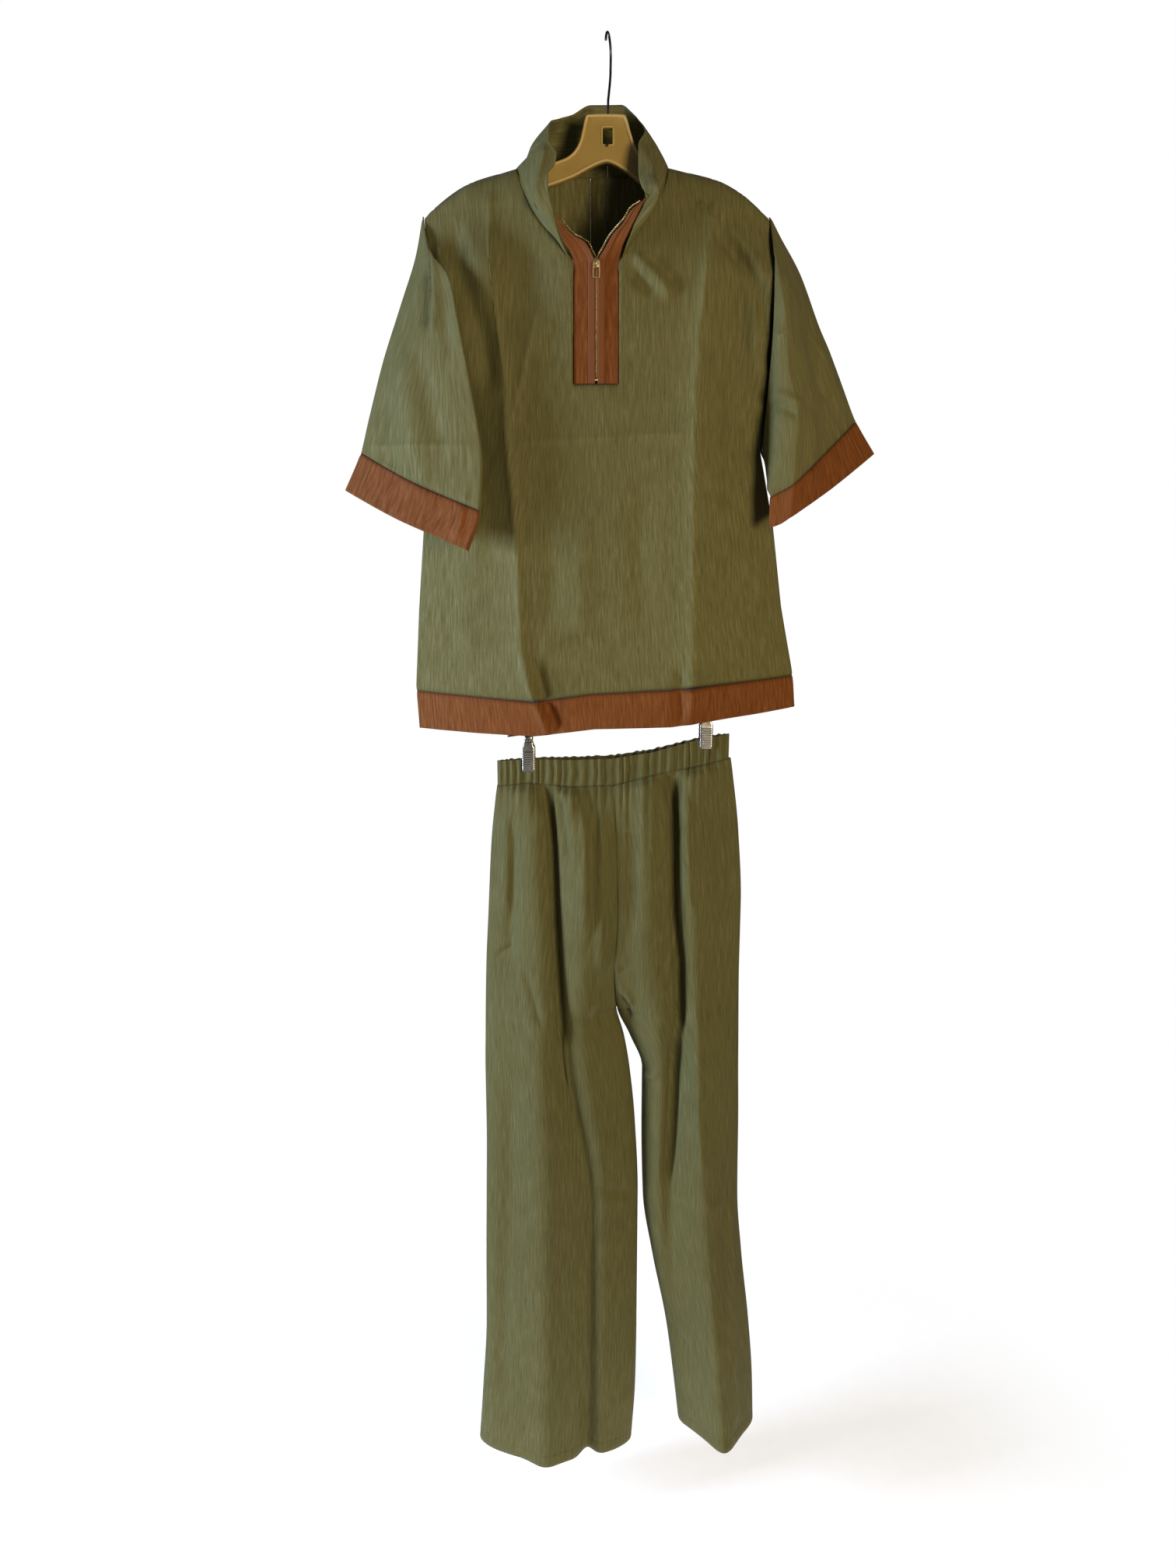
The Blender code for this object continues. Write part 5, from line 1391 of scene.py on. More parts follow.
@dataclass
class ZipFront:
    """The half-zip: two placket strips, tape, teeth, slider, pull and bottom stop."""

    shape: TopShape
    zip_x: float = -13.5
    chain_half: float = 2.0
    zip_bottom: float = -377.0
    open_right: tuple = ((-15.5, -55, -249), (-21, -56, -233), (-40, -57, -221), (-52, -58, -208))
    open_left: tuple = ((-11.5, -55, -249), (-7, -56, -238), (2, -57, -223), (17, -57, -207),
                        (25, -58, -195), (35, -58, -189))
    slider_z: tuple[float, float] = (-258.5, -248.5)
    bail_y: float = -57.64
    tooth_pitch: float = 1.75
    tooth_size: tuple[float, float, float] = (2.5, 1.5, 1.05)

    def sign(self, side: Side) -> float:
        """-1 on the wearer's right, 1 on the left."""
        return 1.0 if side is Side.LEFT else -1.0

    def open_edge(self, side: Side) -> np.ndarray:
        """The opened chain's own line above the slider."""
        return np.asarray(self.open_left if side is Side.LEFT else self.open_right, float)

    def strip(self, side: Side) -> np.ndarray:
        """Plain placket strip, coarse as in the solids: straight rows, then the opened rows."""
        shape, sign = self.shape, self.sign(side)
        inner = self.zip_x + sign * (self.chain_half + 0.5)
        outer = shape.placket_x[1] - 0.3 if side is Side.LEFT else shape.placket_x[0] + 0.3
        collar = np.asarray(COLLAR_ROWS[-1 if side is Side.LEFT else 0], float)
        z = np.linspace(shape.placket_bottom, shape.placket_top - 5.5, 8)
        part = np.linspace(0.0, 1.0, 4)
        x = np.broadcast_to(lerp(inner, outer, part), (8, 4))
        deep = np.broadcast_to(z[:, None], (8, 4))
        straight = np.stack([x, shape.front_y(x, deep) - 0.4, deep], axis=-1)
        foot = np.array([[outer, float(shape.front_y(np.array(outer), np.array(shape.placket_top))),
                          shape.placket_top]])
        chain = along(self.open_edge(side), 6)[1:] + (sign * 3.1, -0.2, -1.8)
        seam = along(np.concatenate([foot, collar]), 6)[1:] + (-sign * 2.8, -0.6, -1.4)
        opened = lerp(chain[:, None, :], seam[:, None, :], part[None, :, None])
        return np.concatenate([straight, opened])

    def refined(self, coarse: np.ndarray, rows: int, across: np.ndarray) -> np.ndarray:
        """Refine the coarse rows by a spline down the strip and straight mixes across it."""
        length = path_length(coarse, 0).mean(axis=1)
        fine = spline(length, coarse, np.linspace(0.0, length[-1], rows))
        return fine[:, :1] + (fine[:, -1:] - fine[:, :1]) * across[None, :, None]

    def chain_path(self, side: Side) -> np.ndarray:
        """The line of one half of the chain, from the bottom stop to the collar's edge."""
        sign = self.sign(side)
        z = np.linspace(self.zip_bottom, self.shape.placket_top - 1.2, 6)
        x = np.full(6, self.zip_x + sign * 0.62)
        straight = np.stack([x, self.shape.front_y(x, z) - 0.6, z], axis=-1)
        coarse = np.concatenate([straight, along(self.open_edge(side), 7)[1:]])
        length = path_length(coarse, 0)
        return spline(length, coarse, np.linspace(0.0, length[-1], 240))

    def teeth(self, side: Side, finishes: Finishes) -> None:
        """A row of moulded teeth: one small rounded block carried to each place on the chain."""
        path = self.chain_path(side)
        length = path_length(path, 0)
        start = 0.0 if side is Side.RIGHT else self.tooth_pitch / 2.0
        places = np.arange(start + 1.0, length[-1], self.tooth_pitch)
        centre, tangent = stations(path, places)
        out = np.array([0.0, -1.0, 0.0]) - (tangent @ np.array([0.0, -1.0, 0.0]))[:, None] * tangent
        out /= np.linalg.norm(out, axis=1, keepdims=True)
        wide = np.cross(out, tangent)
        block, faces = block_surface(8, 4, 4.0)
        half = np.asarray(self.tooth_size) / 2.0
        points = (centre[:, None] + block[None, :, 0, None] * half[0] * wide[:, None]
                  + block[None, :, 1, None] * half[1] * out[:, None]
                  + block[None, :, 2, None] * half[2] * tangent[:, None])
        piece = put_mesh(f"zip_teeth_{side.value}", points,
                         repeated(faces, len(block), len(places)), finishes.gilt)
        close_outwards(piece)
        fix_to_set(piece, (f"zip_chain_{side.value}",))

    def build(self, finishes: Finishes) -> None:
        """Make both strips with their tapes and teeth, and the metal pieces."""
        for side in Side:
            coarse = self.strip(side)
            grid = Grid(self.refined(coarse, 90, np.linspace(0.0, 1.0, 16)))
            grid.outward = float(-np.sign(grid.normals()[..., 1].mean()))
            across, down = grid.grain()
            gap = across[:, -1:] - across
            grid = grid.raised(0.5 * crinkle(across * 1.4, down, 53) * smooth(gap / 6.0)
                               - 0.5 * np.exp(-gap / 1.6))
            # Painted shade along the strip's outer seam.
            grid.painted_light = -0.45 * np.exp(-gap / 1.8)
            piece = cloth_piece(f"placket_strip_{side.value}", grid, finishes.rust,
                                (f"placket_{side.value}",))
            tape = Grid(self.refined(coarse, 90, np.linspace(-0.05, 0.29, 6)), outward=grid.outward)
            tape = tape.raised(np.full(tape.points.shape[:2], 1.15))
            tape_piece = cloth_piece(f"zip_tape_{side.value}", tape, finishes.tape, (),
                                     wall=0.6)
            length = float(path_length(grid.points, 0)[-1].mean()) * MM
            width = 1.05 * float(path_length(grid.points, 1)[:, -1].max()) * MM
            max(grid.area(), 0.3 * width * length)
            self.teeth(side, finishes)
        self.metal(finishes)
        self.frame_stitching(finishes)

    def metal(self, finishes: Finishes) -> None:
        """Slider, crown, pull tab and stop."""
        low, high = self.slider_z
        middle = (low + high) / 2.0
        rounded_block("slider_body", (self.zip_x, self.bail_y + 1.1, middle), (8.0, 2.4, high - low),
                      finishes.gilt, ("zip_slider",), 3.2)
        turn = np.linspace(0.0, math.pi, 25)
        crown = np.stack([np.full(25, self.zip_x), self.bail_y - 0.3 - 2.2 * np.sin(turn),
                          middle + 2.8 * np.cos(turn)], axis=-1)
        tube("slider_crown", crown, 1.1, finishes.gilt, ("zip_bail",))
        pivot = np.array([self.zip_x, self.bail_y - 1.1, middle])
        square = np.array([(-3.4, 0.0), (-3.4, -15.0), (3.4, -15.0), (3.4, 0.0)])
        loop = closed_loop(np.stack([square[:, 0], np.zeros(4), square[:, 1]], axis=-1), 14,
                           (0.22,) * 4)
        tube("pull_tab", pivot + loop, 1.1, finishes.gilt, ("zip_pull",), closed=True,
             body=PULL_BODY, sides=12)
        stop_y = float(self.shape.front_y(np.array(self.zip_x), np.array(self.zip_bottom)))
        rounded_block("bottom_stop", (self.zip_x, stop_y - 0.9, self.zip_bottom - 1.7),
                      (3.8, 2.2, 2.6), finishes.gilt, ("zip_stop",))

    def frame_stitching(self, finishes: Finishes) -> None:
        """The U of topstitching on the body, outside the placket's window, and rows on it."""
        shape = self.shape
        low_x, high_x = shape.placket_x
        lines = []
        for out in (2.0, 8.0):
            corner = np.array([(low_x - out, shape.placket_top - 8.0),
                               (low_x - out, shape.placket_bottom - out),
                               (high_x + out, shape.placket_bottom - out),
                               (high_x + out, shape.placket_top - 8.0)])
            for a, b in zip(corner[:-1], corner[1:]):
                part = np.linspace(0.0, 1.0, 60)[:, None]
                flat = lerp(a, b, part)
                y = shape.front_y(flat[:, 0], flat[:, 1]) - relief(flat[:, 0], flat[:, 1],
                                                                   TOP_FRONT_FOLDS)
                points = np.stack([flat[:, 0], y - 0.25, flat[:, 1]], axis=-1)
                lines.append((points, np.broadcast_to((0.0, -1.0, 0.0), points.shape)))
        stitches("placket_frame_stitching", lines, finishes.olive_thread)


LEG_TABLES: dict[Side, tuple] = {
    Side.RIGHT: (
        (-869, -140, 9, -16, 14), (-940, -148, 12, -30, 28), (-1040, -154, 15, -37, 36),
        (-1110, -158, 11, -39, 42), (-1171, -160, 14, -40, 44), (-1213, -161, 25, -41, 40),
        (-1260, -162, 33, -41, 34), (-1340, -162, 41, -42, 32), (-1450, -164, 46, -42, 32),
        (-1542, -166, 46, -43, 33), (-1660, -168, 46, -45, 34), (-1752, -174, 45, -46, 35),
        (-1845, -181, 40, -47, 36)),
    Side.LEFT: (
        (-835, 160, 10, -16, 14), (-930, 172, 13, -30, 28), (-1030, 178, 16, -37, 36),
        (-1110, 178, 12, -39, 42), (-1171, 179, 16, -40, 44), (-1213, 180, 34, -41, 40),
        (-1260, 181, 51, -41, 34), (-1330, 183, 51, -42, 32), (-1450, 185, 54, -42, 32),
        (-1542, 193, 68, -43, 33), (-1650, 206, 89, -45, 34), (-1740, 214, 101, -46, 35),
        (-1810, 217, 109, -47, 36))}

# The big folds down each leg: x at five heights, half width, and height at waist, knee and hem
FOLD_HEIGHTS = (-860.0, -1040.0, -1220.0, -1450.0, -1840.0)
LEG_LONG_FOLDS: dict[Side, tuple] = {
    Side.RIGHT: ((-104, -98, -90, -84, -84, 24, 7, 8, 10), (-79, -69, -57, -22, -24, 13, -9, -10, -16),
                 (-50, -32, -22, -2, 0, 18, 8, 4, 0)),
    Side.LEFT: ((50, 52, 66, 72, 112, 20, 8, 5, 0), (81, 87, 95, 90, 124, 14, -9, -12, -4),
                (116, 118, 126, 140, 172, 22, 8, 9, 20))}

LEG_FRONT_FOLDS: tuple[Fold, ...] = (
    # Rolls that drop steeply on their right
    Fold(((-86, -872), (-80, -960), (-74, -1080), (-66, -1220)), 13.0, 4.2, 40.0, Profile.ROLLED),
    Fold(((-34, -872), (-30, -960), (-28, -1060)), 11.0, 3.2, 50.0, Profile.ROLLED),
    Fold(((0, -884), (-4, -980), (-6, -1120)), 12.0, 3.2, 50.0, Profile.ROLLED),
    Fold(((72, -858), (78, -930), (80, -1060), (88, -1200)), 12.0, 4.0, 40.0, Profile.ROLLED),
    Fold(((104, -852), (106, -930), (110, -1040)), 10.0, 2.6, 50.0, Profile.ROLLED),
    Fold(((-124, -880), (-126, -960), (-130, -1060)), 10.0, 2.4, 50.0, Profile.ROLLED),
    # Sharp edges within the big folds
    Fold(((-79, -874), (-70, -941), (-68, -1046), (-63, -1156), (-57, -1224)), 6.0, -4.6, 30.0),
    Fold(((-61, -872), (-54, -920), (-47, -971)), 4.5, -2.6, 20.0),
    Fold(((-27, -880), (-27, -980), (-25, -1080)), 6.0, 2.6, 50.0),
    Fold(((-57, -1180), (-45, -1295), (-28, -1416), (-22, -1449), (-28, -1564), (-28, -1761)),
         4.5, 3.0, 40.0, Profile.PRESSED),
    Fold(((-118, -900), (-122, -1000), (-126, -1120)), 9.0, -2.4, 60.0),
    Fold(((-128, -1240), (-130, -1400), (-140, -1600), (-146, -1800)), 14.0, -3.0, 90.0),
    Fold(((81, -858), (87, -926), (86, -1016), (96, -1109), (98, -1200)), 6.0, -4.8, 30.0),
    Fold(((92, -1190), (91, -1270), (88, -1360), (83, -1430)), 6.5, -5.0, 40.0),
    Fold(((120, -1150), (124, -1300), (134, -1420)), 6.0, 2.8, 60.0),
    Fold(((146, -880), (150, -980), (154, -1100)), 9.0, -2.4, 60.0),
    Fold(((172, -1440), (176, -1540), (180, -1680), (186, -1790)), 4.0, 2.4, 30.0, Profile.PRESSED),
    Fold(((34, -880), (33, -980), (31, -1080)), 8.0, -2.0, 60.0),
    # Draw lines from the crotch
    Fold(((14, -1128), (26, -1140), (38, -1158)), 5.0, 2.4, 10.0),
    Fold(((-6, -1150), (-14, -1164), (-20, -1180)), 5.0, 2.2, 9.0),
    Fold(((18, -1142), (28, -1160), (32, -1184)), 4.0, -2.2, 9.0),
    Fold(((48, -1270), (62, -1262), (74, -1252)), 3.4, 2.4, 9.0),
    # Small creases from folding and hanging
    Fold(((12, -921), (50, -922), (76, -924)), 3.6, 1.3, 16.0, Profile.PRESSED),
    Fold(((14, -1104), (30, -1108)), 4.0, -1.6, 8.0),
    Fold(((-148, -1098), (-136, -1090), (-120, -1076)), 4.0, -1.8, 10.0),
    Fold(((132, -1044), (158, -1038)), 4.0, 1.8, 9.0),
    Fold(((-148, -1180), (-110, -1176), (-76, -1174)), 4.5, 1.5, 20.0, Profile.PRESSED),
    Fold(((-18, -1420), (10, -1432), (46, -1448)), 6.0, -2.2, 18.0),
    Fold(((-150, -1460), (-90, -1470), (-36, -1476)), 5.0, 1.4, 30.0, Profile.PRESSED),
    Fold(((90, -1438), (130, -1442), (170, -1446)), 5.0, 1.3, 24.0, Profile.PRESSED),
    Fold(((88, -1640), (104, -1660), (122, -1680)), 5.0, -2.0, 14.0),
    Fold(((-108, -1104), (-96, -1140), (-82, -1186)), 5.0, -1.8, 20.0),
)

# Each leg panel's solid is in four parts, one above another; the cloth itself runs whole
LEG_PARTS = ("upper", "crotch", "middle", "lower")

LEG_BACK_FOLDS: tuple[Fold, ...] = (
    Fold(((-90, -900), (-84, -1040), (-76, -1220)), 12.0, 3.4, 80.0),
    Fold(((-40, -890), (-44, -1010), (-40, -1120)), 10.0, -3.0, 60.0),
    Fold(((98, -880), (104, -1040), (110, -1230)), 12.0, 3.4, 80.0),
    Fold(((52, -880), (56, -1000), (50, -1110)), 10.0, -3.0, 60.0),
    Fold(((-104, -1300), (-96, -1500), (-100, -1780)), 16.0, 4.0, 120.0),
    Fold(((-40, -1320), (-36, -1500), (-44, -1760)), 13.0, -3.6, 120.0),
    Fold(((120, -1300), (134, -1500), (156, -1760)), 16.0, 4.0, 120.0),
    Fold(((-140, -1190), (-90, -1186), (-30, -1190)), 5.0, 1.6, 30.0, Profile.PRESSED),
    Fold(((70, -1186), (120, -1182), (166, -1186)), 5.0, 1.6, 30.0, Profile.PRESSED),
)


@dataclass
class Waist:
    """The gathered elastic waist, and how its gathers run on into the legs.

    table holds x, z of the upper edge, z of the seam and half of the depth.
    """

    table: tuple = ((-139, -836, -869, 2.2), (-99, -833, -864, 5.0), (-40, -833, -868, 10.0),
                    (10, -831, -866, 11.0), (60, -823, -853, 10.0), (127, -805, -840, 5.0),
                    (157, -801, -833, 2.2))
    gathers: int = 60
    depth: float = 3.2
    per_gather: int = 16
    rows: int = 20

    def column(self, x: np.ndarray, number: int) -> np.ndarray:
        """One of the table's columns at x."""
        table = np.asarray(self.table, float)
        return np.interp(x, table[:, 0], table[:, number])

    def x_at(self, turn: np.ndarray) -> np.ndarray:
        """x of a point that is a share of the way round: the front's half first."""
        low, high = self.table[0][0], self.table[-1][0]
        bowed = lerp(low, high, 0.5 - 0.5 * np.cos(2.0 * math.pi * turn))
        part = np.mod(turn * 2.0, 1.0)
        return 0.25 * bowed + 0.75 * lerp(low, high, np.where(turn < 0.5, part, 1.0 - part))

    def pleat(self, turn: np.ndarray, drift: np.ndarray | float) -> np.ndarray:
        """Height of the gathers from 0 to 1: a cosine round the waist, uneven in place and size."""
        wander = 1.5 * np.sin(2.0 * math.pi * 7.0 * turn + 1.0) + 0.9 * np.sin(
            2.0 * math.pi * 17.0 * turn + 2.3) + drift
        wave = 0.5 - 0.5 * np.cos(2.0 * math.pi * self.gathers * turn + wander)
        size = 0.7 + 0.3 * np.sin(2.0 * math.pi * 23.0 * turn + 0.7)
        return wave ** 1.25 * size

    def turn_at(self, x: np.ndarray, front: bool) -> np.ndarray:
        """The share of the way round for x on the front or the back."""
        turns = np.linspace(0.0, 0.4999, 400) if front else np.linspace(0.9999, 0.5001, 400)
        return np.interp(x, self.x_at(turns), turns)

    def build(self, finishes: Finishes) -> None:
        """Make the waistband: a flat ring, gathered most in the middle of its height."""
        count = self.gathers * self.per_gather
        turn = np.arange(count) / count
        x = self.x_at(turn)
        low, high = self.table[0][0], self.table[-1][0]
        face = np.where(turn < 0.5, -1.0, 1.0)
        ends = np.clip(np.minimum(x - low, high - x) / 6.0, 0.0, 1.0)
        part = np.linspace(0.0, 1.0, self.rows + 1)[:, None]
        drift = 0.5 * value_noise(turn[None, :] * 60.0 + 0.0 * part, part * 2.2, 71)
        pleat = self.pleat(turn[None, :], drift)
        swell = np.interp(part, (0.0, 0.06, 0.16, 0.5, 0.88, 1.0), (0.75, 0.95, 0.8, 1.0, 0.85, 0.5))
        y = face * (self.column(x, 3) * np.sqrt(ends) + self.depth * ends * pleat * swell)
        frill = 0.9 * (pleat[0] - 0.5) * ends
        z = lerp(self.column(x, 1) + frill, self.column(x, 2), part)
        points = np.stack([np.broadcast_to(x, y.shape), y, z], axis=-1)
        grid = ring_grid(points)
        # Painted light on the gathers' crests, painted shade between them.
        grid.painted_light = 0.4 * (pleat * swell - 0.7)
        piece = cloth_piece("elastic_waistband", grid, finishes.olive_leg,
                            ("waistband",))


@dataclass
class Trousers:
    """The four leg panels, cut from the tables of the outer fold, inner edge and depths."""

    waist: Waist
    crotch: float = -1171.0
    front_size: tuple[int, int] = (216, 104)
    back_size: tuple[int, int] = (120, 60)
    hem_turn: float = 16.0
    upper_percent: int = 45         # of the rows, above the crotch
    long_fold_gain: float = 1.35
    back_share: float = 0.6         # how deep the long folds are on the back
    gather_height: float = 3.6

    def surface(self, side: Side, front: bool) -> Grid:
        """One panel's surface, with its folds and the gathers that run on from the waist.

        Args:
            side: which leg.
            front: whether it is the front panel.

        Returns:
            A grid from the outer fold to the inner edge: the section bows from fold to fold, and
            above the crotch it runs out to the centre seam at full depth.
        """
        rows, columns = self.front_size if front else self.back_size
        table = np.asarray(LEG_TABLES[side], float)
        sign = 1.0 if side is Side.RIGHT else -1.0
        top, bottom = table[0, 0] - SEAM_GAP, table[-1, 0]
        upper = rows * self.upper_percent // 100
        z = np.concatenate([np.linspace(top, self.crotch, upper, endpoint=False),
                            np.linspace(self.crotch, bottom, rows - upper + 1)])
        outer, inner, depth_front, depth_back = (spline(table[:, 0], table[:, i], z)
                                                 for i in (1, 2, 3, 4))
        other = np.asarray(LEG_TABLES[Side.LEFT if side is Side.RIGHT else Side.RIGHT], float)
        seam = (inner + spline(other[:, 0], other[:, 2], z)) / 2.0
        inner = np.where(z > self.crotch, seam + sign * SEAM_GAP / 2, inner)
        depth = depth_front if front else depth_back
        even = np.linspace(0.0, 1.0, columns + 1)
        part = 0.35 * (1.0 - np.cos(math.pi * even)) / 2.0 + 0.65 * even
        x = lerp(outer[:, None], (inner - sign * SEAM_GAP / 2)[:, None], part[None, :])
        joined = np.clip((z - self.crotch) / 70.0, 0.0, 1.0)[:, None] ** 0.5
        half = np.sin(math.pi * part)[None, :] ** 0.55
        whole = np.sin(0.5 * math.pi * part)[None, :] ** 0.55
        face = -1.0 if front else 1.0
        y = face * EDGE_Y + (depth[:, None] - face * EDGE_Y) * lerp(half, whole, joined)
        hump = np.sin(math.pi * part)[None, :] ** 0.5
        for fold in LEG_LONG_FOLDS[side]:
            line = spline(FOLD_HEIGHTS, fold[:5], z)[:, None]
            height = self.long_fold_gain * np.interp(-z, (860.0, 1340.0, 1840.0), fold[6:9])[:, None]
            height = height * (1.0 if front else self.back_share)
            y = y + face * height * np.exp(-((x - line) / fold[5]) ** 2) * hump
        level = face * (self.waist.column(x[0], 3) + 0.8)
        near = np.exp(-((top - z) / 7.0) ** 2)[:, None]
        y = lerp(y, np.broadcast_to(level, y.shape), near)
        tilt = self.waist.column(x[0], 2) + 0.5 - top
        knee = top + 0.6 * (self.crotch - top)
        fade = np.clip((z - knee) / (top - knee), 0.0, 1.0)
        high = z[:, None] + tilt[None, :] * fade[:, None]
        return self.dressed(np.stack([x, y, high], axis=-1), front, hump, joined)

    def dressed(self, points: np.ndarray, front: bool, hump: np.ndarray,
                joined: np.ndarray) -> Grid:
        """Add creases, crinkles, gathers below the waist, and the drawn-in seams.

        Args:
            points: the plain surface.
            front: whether it is a front panel.
            hump: 0 at both edges and 1 in the middle of the panel.
            joined: 1 above the crotch, where the inner edge is the centre seam.

        Returns:
            The finished grid.
        """
        grid = Grid(points)
        face = -1.0 if front else 1.0
        grid.outward = float(np.sign(grid.normals()[..., 1].mean() * face))
        x, z = points[..., 0], points[..., 2]
        down, across = path_length(points, 0), path_length(points, 1)
        inner_gap = across[:, -1:] - across
        folds = LEG_FRONT_FOLDS if front else LEG_BACK_FOLDS
        free = smooth(hump * 1.6)
        height = LEG_GAIN * relief(x, z, folds) * free + 0.4 * crinkle(x * 1.2, z * 0.8, 61) * free
        turn = self.waist.turn_at(x, front)
        pleat = self.waist.pleat(turn, 0.0) - 0.4
        reach = 46.0 + 34.0 * value_noise(turn * 60.0, np.zeros_like(turn), 83)
        run_out = np.exp(-(down / reach) ** 1.3) * smooth(down / 4.0)
        height = height + self.gather_height * pleat * run_out * free
        height = height - np.exp(-down / 2.4) - 1.3 * np.exp(-inner_gap / 2.4) * joined
        hem_gap = down[-1:] - down
        height = height + 0.35 * smooth((self.hem_turn + 0.8 - hem_gap) / 1.6) * free
        height = height - 0.5 * np.exp(-((hem_gap - self.hem_turn) / 1.4) ** 2) * free
        made = grid.raised(height)
        # Painted highlight on the pressed folds' tops, painted shade at the waist seam and along the
        # centre seam.
        made.painted_light = (crease_highlight_lines(x, z, folds) - 0.4 * np.exp(-down / 2.0)
                     - 0.4 * np.exp(-inner_gap / 2.0) * joined)
        return made

    def hem_line(self, grid: Grid) -> tuple[np.ndarray, np.ndarray]:
        """The line of stitches that holds the turned hem."""
        down = path_length(grid.points, 0).mean(axis=1)
        row = float(np.interp(down[-1] - self.hem_turn, down, np.arange(len(down))))
        points, normals = grid.line(row)
        return points[3:-3], normals[3:-3]

    def build(self, finishes: Finishes) -> None:
        """Make the waistband, the panels and the hems' stitching."""
        self.waist.build(finishes)
        lines = []
        for side in Side:
            for front in (True, False):
                name = f"{'front' if front else 'back'}_{side.value}"
                grid = self.surface(side, front)
                piece = cloth_piece(f"leg_panel_{name}", grid, finishes.olive_leg,
                                    tuple(f"trousers_{name}_{part}" for part in LEG_PARTS))
                area = grid.area()
                lines.append(self.hem_line(grid))
        stitches("trouser_hem_stitching", lines, finishes.olive_thread)


@dataclass
class TopHanger:
    """The moulded hanger with its raised rims, its wire hook and the drop wire in its slot."""

    outline: Path = (
        (-23, -83), (-27, -89), (-30, -100), (-33, -111), (-39, -121), (-48, -128), (-62, -133),
        (-84, -140.5), (-107, -146.4), (-134, -154), (-160, -161.6), (-186, -177.5), (-197, -184),
        (-202, -192), (-202, -199), (-197, -203), (-188, -202), (-160, -188), (-120, -174),
        (-90, -165), (-66, -158), (-40, -149), (-26, -142), (-13, -136), (-2, -133), (8, -136),
        (22, -144), (39, -156), (62, -166), (100, -177), (150, -193), (170, -204), (179, -205),
        (184, -201), (184, -195), (179, -191), (168, -182.4), (150, -169.6), (127, -158.4),
        (100, -151.9), (70, -144.8), (57, -139.5), (44, -132), (35, -122), (29, -110), (25, -98),
        (22, -88), (18, -83))
    slot_x: tuple[float, float] = (-6.0, 5.0)
    slot_z: tuple[float, float] = (-114.0, -97.0)
    web_thick: float = 6.0
    rim_size: tuple[float, float] = (3.8, 10.0)
    hook_wire: float = 2.8
    hook_inner: float = 17.0
    hook_turn: float = math.radians(80.0)
    link_wire: float = 2.0
    rim_sides: int = 20
    rim_power: float = 0.55

    def web(self, finishes: Finishes) -> None:
        """The recessed web: the filled outline with its slot cut through."""
        curve = bpy.data.curves.new("hanger_web_outline", "CURVE")
        curve.dimensions, curve.fill_mode = "2D", "BOTH"
        curve.extrude = self.web_thick * MM / 2.0
        corners = [(self.slot_x[i], self.slot_z[j]) for i, j in ((0, 0), (1, 0), (1, 1), (0, 1))]
        for ring in (self.smooth_outline()[:, :2], np.asarray(corners)):
            line = curve.splines.new("POLY")
            line.points.add(len(ring) - 1)
            for point, place in zip(line.points, ring * MM):
                point.co = (place[0], place[1], 0.0, 1.0)
            line.use_cyclic_u = True
        flat = bpy.data.objects.new("hanger_web_outline", curve)
        bpy.context.scene.collection.objects.link(flat)
        mesh = bpy.data.meshes.new_from_object(
            flat.evaluated_get(bpy.context.evaluated_depsgraph_get()))
        bpy.data.objects.remove(flat)
        shape = bmesh.new()
        shape.from_mesh(mesh)
        bmesh.ops.remove_doubles(shape, verts=shape.verts, dist=1e-6)
        for corner in shape.verts:
            corner.co = Vector((corner.co.x, -corner.co.z, corner.co.y))
        bmesh.ops.recalc_face_normals(shape, faces=shape.faces)
        shape.to_mesh(mesh)
        shape.free()
        mesh.shade_smooth()
        mesh.set_sharp_from_angle(angle=math.radians(35.0))
        mesh.materials.clear()
        mesh.materials.append(finishes.plastic)
        piece = bpy.data.objects.new("hanger_web", mesh)
        bpy.context.scene.collection.objects.link(piece)
        fix_to_set(piece, ("hanger_body",))

    def smooth_outline(self) -> np.ndarray:
        """The outline with its corners eased, as x, z and 0."""
        flat = np.asarray(self.outline, float)
        anchors = np.concatenate([flat, np.zeros((len(flat), 1))], axis=1)
        return closed_loop(anchors, 4, (0.9,) * len(anchors))

    def rim(self, name: str, ring: np.ndarray, inset: float, size: tuple[float, float],
            finishes: Finishes) -> None:
        """A rounded lip carried round a closed outline.

        Args:
            name: the piece's name.
            ring: x and z round the outline.
            inset: how far inside the outline the lip's middle runs; below zero, outside it.
            size: the lip's width in the outline's plane and its depth in Y.
            finishes: the set's finishes.
        """
        ahead = np.roll(ring, -1, axis=0) - np.roll(ring, 1, axis=0)
        ahead /= np.linalg.norm(ahead, axis=1, keepdims=True)
        inward = np.stack([-ahead[:, 1], ahead[:, 0]], axis=-1)
        turning = np.cross(np.roll(ring, -1, axis=0) - ring, ring - np.roll(ring, 1, axis=0)).sum()
        inward *= -1.0 if turning > 0 else 1.0
        turn = np.arange(self.rim_sides) * 2.0 * math.pi / self.rim_sides
        wide = signed_power(np.cos(turn), self.rim_power) * size[0] / 2.0
        deep = signed_power(np.sin(turn), self.rim_power) * size[1] / 2.0
        flat = ring[:, None] + inward[:, None] * (inset + wide)[None, :, None]
        points = np.stack([flat[..., 0], np.broadcast_to(deep, flat.shape[:2]), flat[..., 1]], axis=-1)
        count = len(ring) * self.rim_sides
        faces = (cell_faces(len(ring) + 1, self.rim_sides, True, None, False) % count).tolist()
        # Painted highlight: paler on the lip's front and back faces.
        painted_light = np.broadcast_to(0.55 * (np.abs(deep) / size[1] * 2.0), flat.shape[:2])
        piece = put_mesh(name, points, faces, finishes.plastic, {"painted_light": painted_light.ravel()})
        close_outwards(piece)
        fix_to_set(piece)

